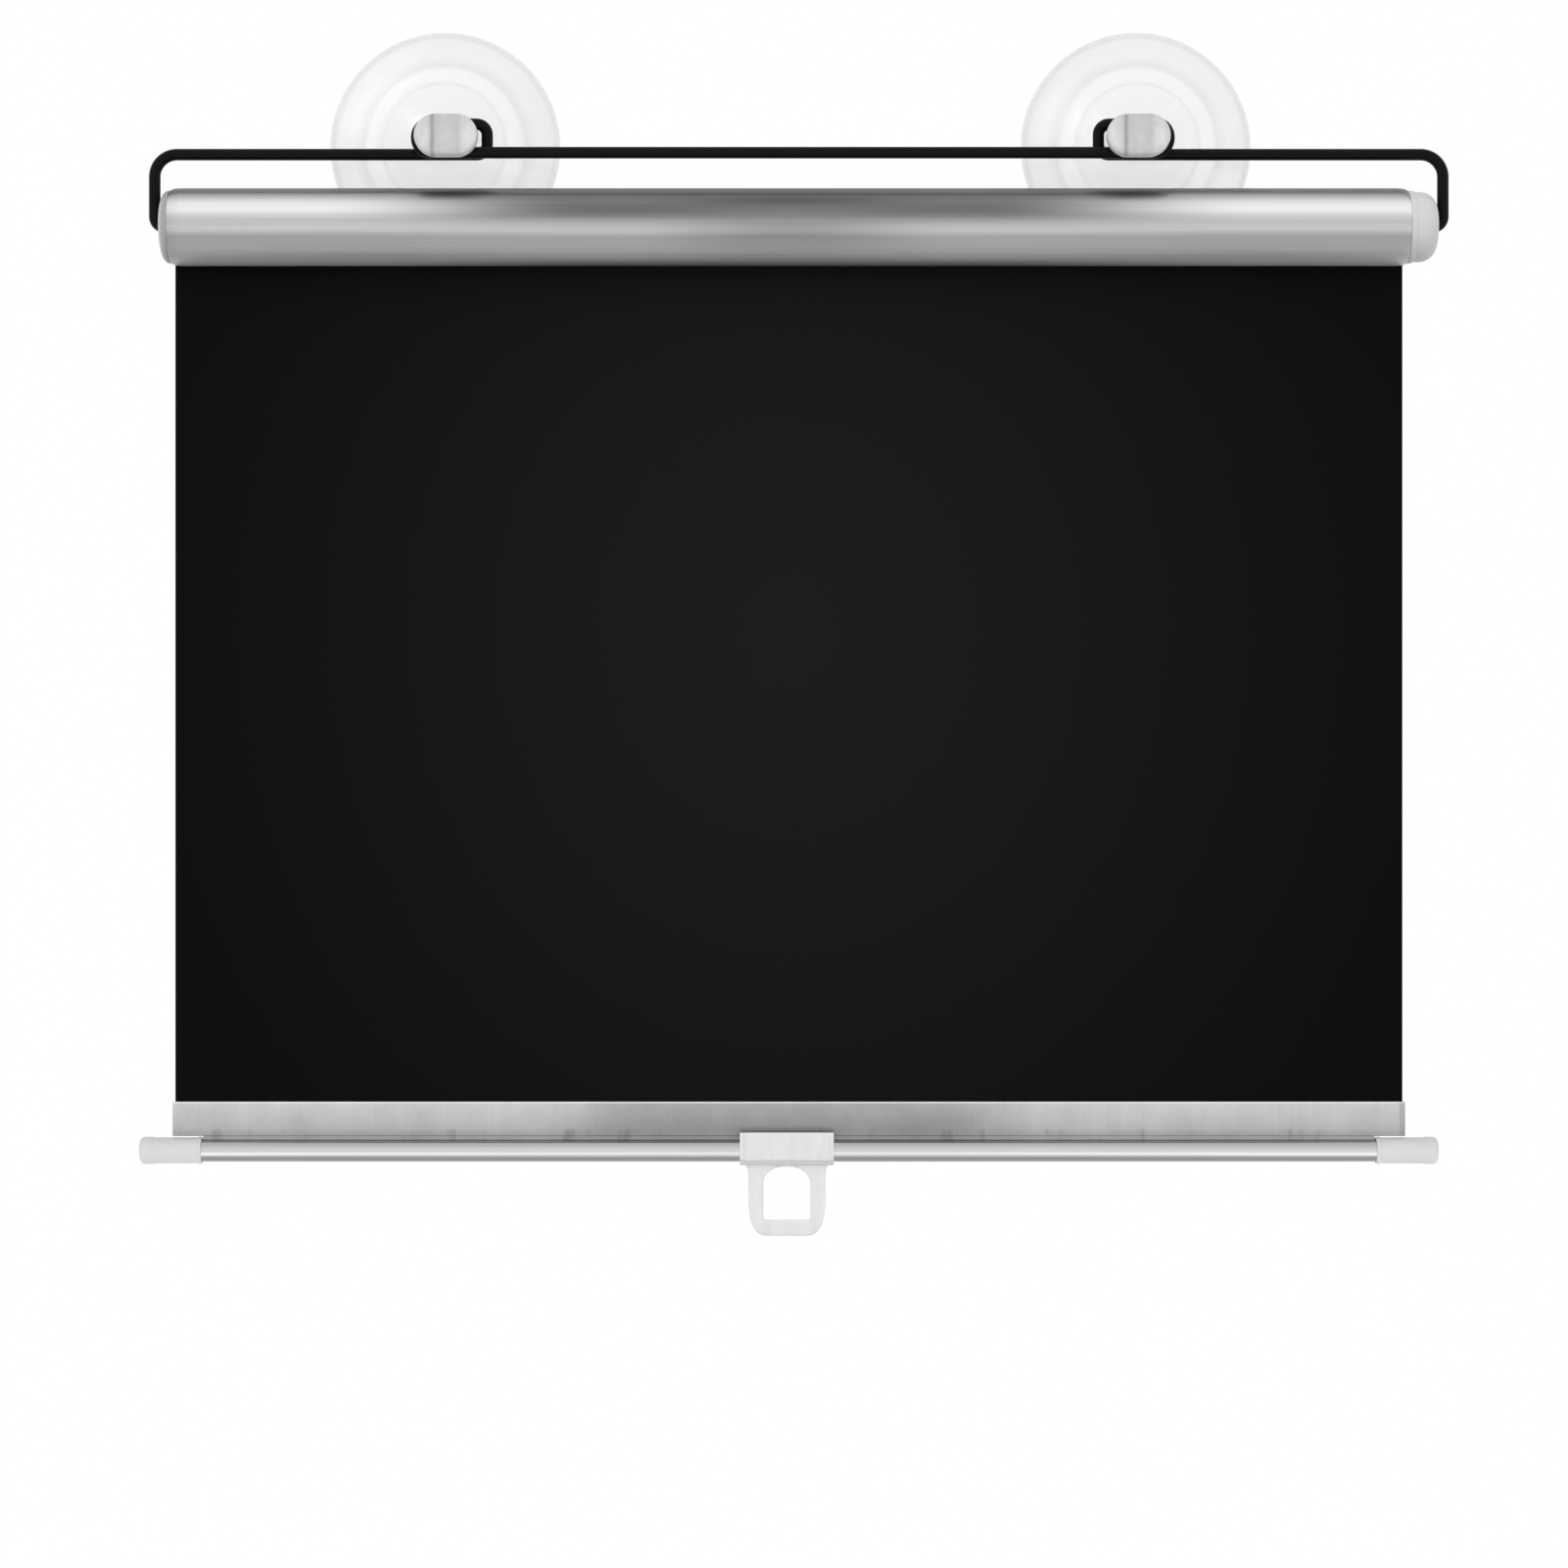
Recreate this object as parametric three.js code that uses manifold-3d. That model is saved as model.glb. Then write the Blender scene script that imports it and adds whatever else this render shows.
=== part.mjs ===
// Retractable window sunshade: a film on a sprung roller in a round casing, hung by a wire and two
// suction cups. Millimetres. X to the right, Y towards the window glass, Z up. The origin lies on the
// glass plane, at the height of the cups, over the middle of the film.
import * as THREE from 'three';
import { mergeVertices } from 'three/addons/utils/BufferGeometryUtils.js';
import Module from 'manifold-3d';

const wasm = await Module();
wasm.setup();

// Clearances
const GAP = 0.3;
const CAP_FIT = 0.15;
const TURN_GAP = 0.05;

// Film
const FILM_WIDTH = 361;
const FILM_THICKNESS = 0.3;
const FILM_DROP = 256.3;
const TURNS_LEFT = 1.25;
const TURNS_DRAWN = 5;

// Casing and its end caps
const CASING_DIAMETER = 22.6;
const CASING_WALL = 0.8;
const CASING_PAST_FILM = 0.3;
const SLOT_WIDTH = 5;
const CASING_TO_GLASS = 4.7;
const CAP_INSET = 0.2;
const CAP_WALL = 1;
const CAP_PLUG_DEPTH = 5;
const CAP_PLUG_WALL = 1;
const LEFT_CAP_LENGTH = 2.4;
const LEFT_CAP_FACE_DIAMETER = 13;
const RIGHT_CAP_LENGTH = 8.2;
const COLLAR_ROUND = 1.6;
const DOME_DIAMETER = 20.4;
const DOME_ROUND = 5;
const BOSS_WALL = 1.6;
const LEFT_BOSS_LENGTH = 7.5;
const HOOK_FLOOR = 1.2;

// Wire hanger
const WIRE_DIAMETER = 3.4;
const WIRE_OVER_CASING = 8.2;
const WIRE_CORNER = 6.5;
const HOOK_BEND = 3;
const HOOK_REACH = 3.2;
const ARM_CLEARANCE = 0.3;
const EYE_WIDTH = 23.7;
const EYE_HEIGHT = 12.2;
const EYE_LEFT_SHARE = -0.2726;
const EYE_RIGHT_SHARE = 0.279;
const EYE_INNER_ROUND = 3;
const EYE_OUTER_ROUND = 4.2;
const LAYER_GAP = 0.4;

// Suction cups
const CUP_DIAMETER = 68;
const CUP_LEFT_FROM_EYE = -3.4;
const CUP_RIGHT_FROM_EYE = 2.1;
const CUP_WALL = 3.3;
const CUP_CROWN_GAP = 0.6;
const RIM_WIDTH = 2.3;
const RIM_THICKNESS = 0.9;
const RIM_ROUND = 0.2;
const FLANGE_DIAMETER = 48;
const FLANGE_HEIGHT = 3.2;
const SHOULDER_DIAMETER = 36;
const SHOULDER_HEIGHT = 6.4;
const CROWN_DIAMETER = 11;
const CROWN_FALL = 0.9;
const CROWN_ROUND = 3;
const FLANK_BULGE = 0.9;
const FLANK_DIP = 0.25;
const NECK_WIDTH = 8.3;
const HEAD_WIDTH = 18.6;
const HEAD_HEIGHT = 12.3;
const HEAD_THICKNESS = 4.5;
const HEAD_ROUND = 1.1;
const HEAD_LEFT_FROM_CUP = 2.1;
const HEAD_RIGHT_FROM_CUP = -1.2;
const NECK_OVERLAP = 1;

// Roller, spring and ratchet
const ROLLER_DIAMETER = 12.2;
const ROLLER_WALL = 0.7;
const ROLLER_END_GAP = 1.3;
const LEFT_PLUG_LENGTH = 7;
const FLANGE_GAP = 0.3;
const FLANGE_PLATE = 1.2;
const FLANGE_CLEARANCE = 0.5;
const SHAFT_DIAMETER = 5.6;
const JOURNAL_DIAMETER = 8;
const JOURNAL_LENGTH = 9;
const TENON_SIDE = 4.4;
const TENON_IN_SHAFT = 5.2;
const SPRING_LENGTH = 106;
const SPRING_WIRE = 0.9;
const SPRING_TURNS = 20;
const SPRING_CLEARANCE = 0.2;
const COLLAR_LENGTH = 3;
const COLLAR_CLEARANCE = 0.5;
const HUB_LENGTH = 7;
const SHAFT_PAST_HUB = 2;
const RATCHET_DIAMETER = 11.2;
const RATCHET_DEPTH = 1.3;
const RATCHET_THICKNESS = 2;
const RATCHET_TEETH = 6;
const PAWL_LENGTH = 4.2;
const PAWL_TIP = 0.6;
const PAWL_THICKNESS = 1.7;
const PAWL_REST_ANGLE = THREE.MathUtils.degToRad(10);
const PIN_DIAMETER = 1.2;
const PIN_HOLE_FLOOR = 0.3;

// Bottom bar
const HEM_HEIGHT = 10.1;
const HEM_WALL = 0.5;
const HEM_GRIP = 7;
const HEM_PAST_FILM = 0.7;
const ROD_DIAMETER = 6.6;
const ROD_WALL = 0.7;
const WEB_THICKNESS = 1;
const BEAD_DIAMETER = 3;
const ROD_CAP_DIAMETER = 8;
const ROD_CAP_LENGTH = 18.2;
const ROD_CAP_PAST_FILM = 10.3;
const ROD_CAP_END = 1.6;
const ROD_CAP_ROUND = 1.4;
const TAB_X = -0.6;
const CLIP_WIDTH = 27.5;
const CLIP_WALL = 0.8;
const CLIP_RISE = 5.6;
const CLIP_SKIRT = 2.6;
const JAW_FROM = THREE.MathUtils.degToRad(125);
const JAW_TO = THREE.MathUtils.degToRad(395);
const CLIP_RIB = 1.1;
const CLIP_RIB_PROUD = 0.4;
const RING_WIDTH = 22.6;
const RING_THICKNESS = 2.8;
const RING_BAR = 4.5;
const RING_HOLE_WIDTH = 13.8;
const RING_HOLE_HEIGHT = 15.9;
const RING_ARCH = 5;
const RING_CORNER = 5.5;
const RING_FLARE = 1;
const RING_FLARE_DROP = 4;
const HOLE_ROUND = 1.5;
const HOLE_BELOW_JAW = 0.2;

// Places that follow from the sizes above
const CASING_R = CASING_DIAMETER / 2;
const CASING_BORE_R = CASING_R - CASING_WALL;
const WIRE_R = WIRE_DIAMETER / 2;
const AXIS_Y = -(CASING_R + CASING_TO_GLASS);
const RUN_Z = CASING_R + WIRE_OVER_CASING + WIRE_R;
const EYE_RISE = EYE_HEIGHT - WIRE_DIAMETER;
const CUP_Z = RUN_Z + EYE_RISE / 2;
const CASING_END = FILM_WIDTH / 2 + CASING_PAST_FILM;
const CAP_FACE = CASING_END + GAP;
const ROLLER_R = ROLLER_DIAMETER / 2;
const ROLLER_BORE_R = ROLLER_R - ROLLER_WALL;
const ROLLER_END = CASING_END - ROLLER_END_GAP;
const TURN_PITCH = FILM_THICKNESS + TURN_GAP;
const FILM_Y = ROLLER_R + GAP + FILM_THICKNESS / 2 + TURN_PITCH * TURNS_LEFT;
const PLUG_R = CASING_BORE_R - GAP;
const CAVITY_R = PLUG_R - CAP_PLUG_WALL;
const CAP_R = CASING_R - CAP_INSET;
const LEFT_FACE = -(CAP_FACE + LEFT_CAP_LENGTH);
const DOME_END = CAP_FACE + RIGHT_CAP_LENGTH;
const HOOK_HOLE_R = WIRE_R + GAP;
const BOSS_R = HOOK_HOLE_R + BOSS_WALL;
const EYE_LEFT_X = FILM_WIDTH * EYE_LEFT_SHARE;
const EYE_RIGHT_X = FILM_WIDTH * EYE_RIGHT_SHARE;
const FLANGE_X = FILM_WIDTH / 2 + FLANGE_GAP;
const RATCHET_X = FLANGE_X + FLANGE_PLATE + GAP;
const BOSS_X = RATCHET_X + RATCHET_THICKNESS + GAP;
const SHAFT_END = RATCHET_X - GAP;
const JOURNAL_START = SHAFT_END - JOURNAL_LENGTH;
const COLLAR_X = JOURNAL_START - COLLAR_LENGTH - GAP;
const SPRING_END = COLLAR_X - GAP;
const HUB_END = SPRING_END - SPRING_LENGTH - GAP;
const RATCHET_R = RATCHET_DIAMETER / 2;
const PAWL_PIVOT_R = (RATCHET_R + CAVITY_R) / 2;
const PAWL_HUB_R = (CAVITY_R - RATCHET_R) / 2 - GAP;
const TIP_ENGAGED_R = RATCHET_R - RATCHET_DEPTH + PAWL_TIP + GAP + PAWL_TIP / 3;
const PAWL_ENGAGED_ANGLE = Math.asin(
  (PAWL_LENGTH ** 2 + PAWL_PIVOT_R ** 2 - TIP_ENGAGED_R ** 2) / (2 * PAWL_LENGTH * PAWL_PIVOT_R),
);
const HEM_TOP = -FILM_DROP;
const HEM_BOTTOM = HEM_TOP - HEM_HEIGHT;
const HEM_HALF = FILM_THICKNESS / 2 + GAP + HEM_WALL;
const ROD_Z = HEM_BOTTOM - GAP - ROD_CAP_DIAMETER / 2;
const ROD_CAP_OUTER = FILM_WIDTH / 2 + ROD_CAP_PAST_FILM;
const ROD_CAP_INNER = ROD_CAP_OUTER - ROD_CAP_LENGTH;

const finish = (color, roughness, metalness, extra = {}) =>
  new THREE.MeshStandardMaterial({ color, roughness, metalness, ...extra });

const materials = {
  clearPvc: finish(0xeef0f0, 0.12, 0, { transparent: true, opacity: 0.4 }),
  coatedWire: finish(0x111112, 0.45, 0),
  brushedAluminium: finish(0xb4b5b6, 0.35, 1),
  whitePlastic: finish(0xd9dadb, 0.4, 0),
  film: finish(0x17181a, 0.6, 0),
  hemFoil: finish(0xb2b3b4, 0.38, 1),
  brightTube: finish(0xc8c9ca, 0.18, 1),
  tabPlastic: finish(0xd2d4d6, 0.35, 0, { transparent: true, opacity: 0.85 }),
  rollerSteel: finish(0x8f9194, 0.4, 1),
  innerPlastic: finish(0xc9cbcc, 0.5, 0),
  springSteel: finish(0x77797c, 0.35, 1),
};

const v2 = (x, y) => new THREE.Vector2(x, y);
const v3 = (x, y, z) => new THREE.Vector3(x, y, z);

// Points on an arc, both ends included.
function arc(cx, cy, radius, from, to, steps) {
  return Array.from({ length: steps + 1 }, (_, i) => {
    const angle = from + ((to - from) * i) / steps;
    return v2(cx + radius * Math.cos(angle), cy + radius * Math.sin(angle));
  });
}

// A shape drawn in Y and Z, drawn out along X between two places.
function alongX(shape, from, to, curveSegments = 12) {
  const options = { depth: to - from, bevelEnabled: false, curveSegments };
  const toX = new THREE.Matrix4().makeBasis(v3(0, 1, 0), v3(0, 0, 1), v3(1, 0, 0));
  return new THREE.ExtrudeGeometry(shape, options).applyMatrix4(toX).translate(from, 0, 0);
}

// A shape drawn in X and Z, drawn out along -Y from a back face to a front face.
function alongY(shape, back, front, options = {}) {
  const solid = { depth: back - front, bevelEnabled: false, curveSegments: 10, ...options };
  return new THREE.ExtrudeGeometry(shape, solid).rotateX(Math.PI / 2).translate(0, back, 0);
}

// A round piece about X from [distance along X, radius] pairs, which go up X along the outside.
function roundX(profile, segments = 40) {
  const toX = new THREE.Matrix4().makeBasis(v3(0, 1, 0), v3(1, 0, 0), v3(0, 0, -1));
  const points = profile.map(([x, radius]) => v2(radius, x));
  return new THREE.LatheGeometry(points, segments).applyMatrix4(toX);
}

function solid(geometry) {
  const bare = geometry.clone();
  bare.deleteAttribute('normal');
  bare.deleteAttribute('uv');
  const merged = mergeVertices(bare, 1e-4);
  const corners = merged.index.array;
  const kept = [];
  for (let i = 0; i < corners.length; i += 3) {
    const [a, b, c] = corners.slice(i, i + 3);
    if (a !== b && b !== c && c !== a) kept.push(a, b, c);
  }
  const vertProperties = new Float32Array(merged.attributes.position.array);
  const triVerts = new Uint32Array(kept);
  return new wasm.Manifold(new wasm.Mesh({ numProp: 3, vertProperties, triVerts }));
}

function geometryOf(manifold) {
  const { vertProperties, triVerts } = manifold.getMesh();
  const geometry = new THREE.BufferGeometry();
  geometry.setAttribute('position', new THREE.BufferAttribute(vertProperties, 3));
  geometry.setIndex(new THREE.BufferAttribute(triVerts, 1));
  return geometry;
}

function join(...geometries) {
  return geometryOf(geometries.map(solid).reduce((sum, next) => sum.add(next)));
}

function cut(geometry, ...tools) {
  return geometryOf(tools.map(solid).reduce((rest, tool) => rest.subtract(tool), solid(geometry)));
}

function piece(name, geometry, material, x = 0, y = 0, z = 0) {
  const mesh = new THREE.Mesh(geometry, material);
  mesh.name = name;
  mesh.position.set(x, y, z);
  return mesh;
}

// A curve through chosen knots, so that an extrusion takes one step for each knot.
class KnotCurve extends THREE.Curve {
  constructor(knots) {
    super();
    this.knots = knots;
  }

  getPoint(t) {
    const place = t * (this.knots.length - 1);
    const index = Math.min(Math.floor(place), this.knots.length - 2);
    return this.knots[index].clone().lerp(this.knots[index + 1], place - index);
  }

  getPointAt(u) {
    return this.getPoint(u);
  }

  getTangentAt(u) {
    const index = Math.round(u * (this.knots.length - 1));
    const before = this.knots[Math.max(index - 1, 0)];
    const after = this.knots[Math.min(index + 1, this.knots.length - 1)];
    return after.clone().sub(before).normalize();
  }
}

function tube(knots, radius, sides) {
  const section = new THREE.Shape(arc(0, 0, radius, 0, 2 * Math.PI, sides).slice(0, sides));
  const options = { steps: knots.length - 1, extrudePath: new KnotCurve(knots), curveSegments: 1 };
  return new THREE.ExtrudeGeometry(section, options);
}

// Knots of a bent wire: straight runs between corners, each corner an arc of its own radius.
function bentRoute(start, corners, end, stepAngle) {
  const knots = [start];
  corners.forEach(([corner, radius], i) => {
    const before = i > 0 ? corners[i - 1][0] : start;
    const after = i < corners.length - 1 ? corners[i + 1][0] : end;
    const into = corner.clone().sub(before).normalize();
    const out = after.clone().sub(corner).normalize();
    const turn = into.angleTo(out);
    const from = corner.clone().addScaledVector(into, -radius * Math.tan(turn / 2));
    const inward = out.clone().addScaledVector(into, -out.dot(into)).normalize();
    const centre = from.clone().addScaledVector(inward, radius);
    const steps = Math.ceil(turn / stepAngle);
    for (let k = 0; k <= steps; k += 1) {
      const angle = (turn * k) / steps;
      const knot = centre.clone().addScaledVector(inward, -radius * Math.cos(angle));
      knots.push(knot.addScaledVector(into, radius * Math.sin(angle)));
    }
  });
  knots.push(end);
  return knots;
}

// Hanger: from hook to hook, one full loop at each eye, the middle run one layer in front.
function wireHanger() {
  const front = -(WIRE_DIAMETER + LAYER_GAP);
  const top = RUN_Z + EYE_RISE;
  const half = (EYE_WIDTH - WIRE_DIAMETER) / 2;
  const leftArm = LEFT_FACE - ARM_CLEARANCE - WIRE_R;
  const rightArm = DOME_END + ARM_CLEARANCE + WIRE_R;
  const corners = [
    [v3(leftArm, 0, 0), HOOK_BEND],
    [v3(leftArm, 0, RUN_Z), WIRE_CORNER],
    [v3(EYE_LEFT_X + half, 0, RUN_Z), EYE_INNER_ROUND],
    [v3(EYE_LEFT_X + half, 0, top), EYE_INNER_ROUND],
    [v3(EYE_LEFT_X - half, front, top), EYE_OUTER_ROUND],
    [v3(EYE_LEFT_X - half, front, RUN_Z), EYE_OUTER_ROUND],
    [v3(EYE_RIGHT_X + half, front, RUN_Z), EYE_OUTER_ROUND],
    [v3(EYE_RIGHT_X + half, front, top), EYE_OUTER_ROUND],
    [v3(EYE_RIGHT_X - half, 0, top), EYE_INNER_ROUND],
    [v3(EYE_RIGHT_X - half, 0, RUN_Z), EYE_INNER_ROUND],
    [v3(rightArm, 0, RUN_Z), WIRE_CORNER],
    [v3(rightArm, 0, 0), HOOK_BEND],
  ];
  const leftTip = v3(LEFT_FACE + HOOK_REACH, 0, 0);
  const rightTip = v3(DOME_END - HOOK_REACH, 0, 0);
  return tube(bentRoute(leftTip, corners, rightTip, Math.PI / 10), WIRE_R, 10);
}

function stadium(width, height, steps) {
  const reach = (width - height) / 2;
  const right = arc(reach, 0, height / 2, -Math.PI / 2, Math.PI / 2, steps);
  const left = arc(-reach, 0, height / 2, Math.PI / 2, 1.5 * Math.PI, steps);
  return new THREE.Shape([...right, ...left]);
}

// One cup about its own axis, which runs along Y: rim on the glass plane, dome towards the wire. The
// neck and the button head stand to one side of the axis.
function suctionCup(headX) {
  const crown = -AXIS_Y - WIRE_R - CUP_CROWN_GAP;
  const rimR = CUP_DIAMETER / 2;
  const crownR = CROWN_DIAMETER / 2;
  const shoulderR = SHOULDER_DIAMETER / 2;
  const flangeR = FLANGE_DIAMETER / 2;
  const outer = [
    v2(crownR, crown),
    v2(crownR + CROWN_ROUND, crown - CROWN_FALL),
    v2((crownR + shoulderR) / 2, (crown + SHOULDER_HEIGHT) / 2 + FLANK_BULGE),
    v2(shoulderR, SHOULDER_HEIGHT),
    v2((shoulderR + flangeR) / 2, (SHOULDER_HEIGHT + FLANGE_HEIGHT) / 2 - FLANK_DIP),
    v2(flangeR, FLANGE_HEIGHT),
  ];
  const hollow = [
    v2(0, crown - CUP_WALL),
    v2(crownR, crown - CUP_WALL - CROWN_FALL),
    v2(shoulderR - CUP_WALL / 2, SHOULDER_HEIGHT - CUP_WALL / 2),
    v2(flangeR - CUP_WALL / 2, FLANGE_HEIGHT / 2),
    v2(rimR - RIM_WIDTH, 0),
  ];
  const profile = [
    ...new THREE.SplineCurve(hollow).getPoints(9),
    v2(rimR - RIM_ROUND, 0),
    v2(rimR, RIM_THICKNESS / 3),
    v2(rimR - RIM_ROUND, RIM_THICKNESS),
    ...new THREE.SplineCurve(outer).getPoints(10).reverse(),
    v2(0, crown),
  ];
  const dome = new THREE.LatheGeometry(profile, 40).rotateX(Math.PI);
  const headBack = AXIS_Y - WIRE_R - WIRE_DIAMETER - 2 * LAYER_GAP;
  const neckOutline = stadium(NECK_WIDTH, EYE_HEIGHT - 2 * WIRE_DIAMETER - 2 * GAP, 8);
  const neck = alongY(neckOutline, -(crown - NECK_OVERLAP), headBack - NECK_OVERLAP);
  neck.translate(headX, 0, 0);
  const inset = {
    bevelEnabled: true,
    bevelThickness: HEAD_ROUND,
    bevelSize: HEAD_ROUND,
    bevelSegments: 2,
  };
  const outline = stadium(HEAD_WIDTH - 2 * HEAD_ROUND, HEAD_HEIGHT - 2 * HEAD_ROUND, 8);
  const head = alongY(outline, headBack - HEAD_ROUND, headBack - HEAD_THICKNESS + HEAD_ROUND, inset);
  head.translate(headX, 0, 0);
  return join(dome, neck, head);
}

function buildHanger() {
  const hanger = new THREE.Group();
  const leftX = EYE_LEFT_X + CUP_LEFT_FROM_EYE;
  const rightX = EYE_RIGHT_X + CUP_RIGHT_FROM_EYE;
  const leftCup = suctionCup(HEAD_LEFT_FROM_CUP);
  const rightCup = suctionCup(HEAD_RIGHT_FROM_CUP);
  hanger.add(piece('suction_cup_left', leftCup, materials.clearPvc, leftX));
  hanger.add(piece('suction_cup_right', rightCup, materials.clearPvc, rightX));
  hanger.add(piece('wire_hanger', wireHanger(), materials.coatedWire, 0, AXIS_Y, -CUP_Z));
  return hanger;
}

// The slot's middle faces the place where the film passes the casing wall, between an empty roll
// and a full one.
function slotAngles(radius) {
  const filmMiddle = FILM_Y + (TURNS_DRAWN * TURN_PITCH) / 4;
  const middle = -Math.acos(filmMiddle / (CASING_R - CASING_WALL / 2));
  const half = SLOT_WIDTH / 2 / radius;
  return [middle + half, middle - half + 2 * Math.PI];
}

function casingTube() {
  const lip = CASING_R - CASING_WALL / 2;
  const [from, to] = slotAngles(lip);
  const lipArc = (place, start) => arc(
    lip * Math.cos(place), lip * Math.sin(place), CASING_WALL / 2, start, start + Math.PI, 5,
  );
  const endLip = lipArc(to, to);
  const startLip = lipArc(from, from + Math.PI);
  const outline = [
    ...arc(0, 0, CASING_R, from, to, 44),
    ...endLip.slice(1, -1),
    ...arc(0, 0, CASING_BORE_R, to, from, 44),
    ...startLip.slice(1, -1),
  ];
  return alongX(new THREE.Shape(outline), -CASING_END, CASING_END);
}

// A wedge over the slot, which opens a cap's plug where the film leaves.
function slotWedge(from, to) {
  const [upper, lower] = slotAngles(CAVITY_R);
  const far = CASING_R + CAP_PLUG_WALL;
  const near = CAVITY_R - CAP_PLUG_WALL;
  const back = arc(0, 0, far, lower - 2 * Math.PI, upper, 6);
  const inner = arc(0, 0, near, upper, lower - 2 * Math.PI, 6);
  return alongX(new THREE.Shape([...back, ...inner]), from, to);
}

// Left cap: a low dome, a plug ring in the casing, and a boss that carries the roller and the hook.
function leftCap() {
  const inner = -CAP_FACE;
  const bossEnd = inner + LEFT_BOSS_LENGTH;
  const faceR = LEFT_CAP_FACE_DIAMETER / 2;
  const low = arc(0, 0, 1, Math.PI / 2, 0, 6);
  const profile = [
    [bossEnd - HOOK_FLOOR, 0],
    [bossEnd - HOOK_FLOOR, HOOK_HOLE_R],
    [LEFT_FACE, HOOK_HOLE_R],
    ...low.map((p) => [inner - LEFT_CAP_LENGTH * p.y, faceR + (CAP_R - faceR) * p.x]),
    [inner, PLUG_R],
    [inner + CAP_PLUG_DEPTH, PLUG_R],
    [inner + CAP_PLUG_DEPTH, CAVITY_R],
    [inner, CAVITY_R],
    [inner, JOURNAL_DIAMETER / 2],
    [bossEnd, JOURNAL_DIAMETER / 2],
    [bossEnd, 0],
  ];
  return cut(roundX(profile), slotWedge(inner, inner + CAP_PLUG_DEPTH + 1));
}

// Right cap: a rounded collar, a long dome over the ratchet, a boss for the hook and a square tenon
// for the shaft.
function rightCap() {
  const domeR = DOME_DIAMETER / 2;
  const inside = DOME_END - CAP_WALL;
  const bend = DOME_END - DOME_ROUND;
  const collar = arc(0, 0, 1, 0, Math.PI / 2, 4);
  const dome = arc(bend, domeR - DOME_ROUND, DOME_ROUND, 0, Math.PI / 2, 5);
  const hollow = arc(bend, domeR - DOME_ROUND, DOME_ROUND - CAP_WALL, Math.PI / 2, 0, 3);
  const profile = [
    [BOSS_X, 0],
    [BOSS_X, BOSS_R],
    [inside, BOSS_R],
    ...hollow.map((p) => [p.x, p.y]).reverse(),
    [CAP_FACE - CAP_PLUG_DEPTH, CAVITY_R],
    [CAP_FACE - CAP_PLUG_DEPTH, PLUG_R],
    [CAP_FACE, PLUG_R],
    ...collar.map((p) => [CAP_FACE + COLLAR_ROUND * p.y, domeR + (CAP_R - domeR) * p.x]),
    ...dome.map((p) => [p.x, p.y]).reverse(),
    [DOME_END, HOOK_HOLE_R],
    [BOSS_X + HOOK_FLOOR, HOOK_HOLE_R],
    [BOSS_X + HOOK_FLOOR, 0],
  ];
  const tenon = squareBar(SHAFT_END - TENON_IN_SHAFT + GAP, BOSS_X + HOOK_FLOOR / 2, TENON_SIDE);
  const opened = cut(roundX(profile, 36), slotWedge(CAP_FACE - CAP_PLUG_DEPTH - 1, CAP_FACE));
  return join(opened, tenon);
}

// Film: the sheet hangs from the back of the roll, and its last turns stay wound, as one spiral.
function film() {
  const steps = Math.round(TURNS_LEFT * 24);
  const spiral = (offset) => Array.from({ length: steps + 1 }, (_, i) => {
    const turns = (TURNS_LEFT * i) / steps;
    const radius = FILM_Y - TURN_PITCH * turns + offset;
    return v2(radius * Math.cos(2 * Math.PI * turns), radius * Math.sin(2 * Math.PI * turns));
  });
  const half = FILM_THICKNESS / 2;
  const bottom = HEM_TOP - HEM_GRIP;
  const outline = [
    v2(FILM_Y + half, bottom),
    ...spiral(half),
    ...spiral(-half).reverse(),
    v2(FILM_Y - half, bottom),
  ];
  return alongX(new THREE.Shape(outline), -FILM_WIDTH / 2, FILM_WIDTH / 2);
}

function ring(from, to, bore, radius, segments = 32) {
  const profile = [[from, bore], [from, radius], [to, radius], [to, bore], [from, bore]];
  return roundX(profile, segments);
}

// Right roller plug: a sleeve in the roller, and a plate beside the film that carries the pawls.
function rightPlug() {
  const bore = JOURNAL_DIAMETER / 2 + GAP;
  const plateEnd = FLANGE_X + FLANGE_PLATE;
  const plateR = CAVITY_R - FLANGE_CLEARANCE;
  const profile = [
    [JOURNAL_START, bore],
    [JOURNAL_START, ROLLER_BORE_R - CAP_FIT],
    [ROLLER_END + GAP, ROLLER_BORE_R - CAP_FIT],
    [ROLLER_END + GAP, ROLLER_R - CAP_FIT],
    [FLANGE_X, ROLLER_R - CAP_FIT],
    [FLANGE_X, plateR],
    [plateEnd, plateR],
    [plateEnd, bore],
    [JOURNAL_START, bore],
  ];
  const holeR = PIN_DIAMETER / 2 + CAP_FIT;
  const pinHole = (side) => ring(FLANGE_X + PIN_HOLE_FLOOR, plateEnd + 1, 0, holeR, 16)
    .translate(0, 0, side * PAWL_PIVOT_R);
  return cut(roundX(profile), pinHole(1), pinHole(-1));
}

// Fixed shaft: a journal with a square socket for the cap's tenon, then a thin shaft through the spring.
function springShaft() {
  const start = HUB_END - HUB_LENGTH - SHAFT_PAST_HUB;
  const profile = [
    [start, 0],
    [start, SHAFT_DIAMETER / 2],
    [JOURNAL_START, SHAFT_DIAMETER / 2],
    [JOURNAL_START, JOURNAL_DIAMETER / 2],
    [SHAFT_END, JOURNAL_DIAMETER / 2],
    [SHAFT_END, 0],
  ];
  const socket = squareBar(SHAFT_END - TENON_IN_SHAFT, SHAFT_END + 1, TENON_SIDE + 2 * CAP_FIT);
  return cut(roundX(profile, 32), socket);
}

function squareBar(from, to, side) {
  const half = side / 2;
  const square = new THREE.Shape([v2(-half, -half), v2(half, -half), v2(half, half), v2(-half, half)]);
  return alongX(square, from, to);
}

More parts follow.
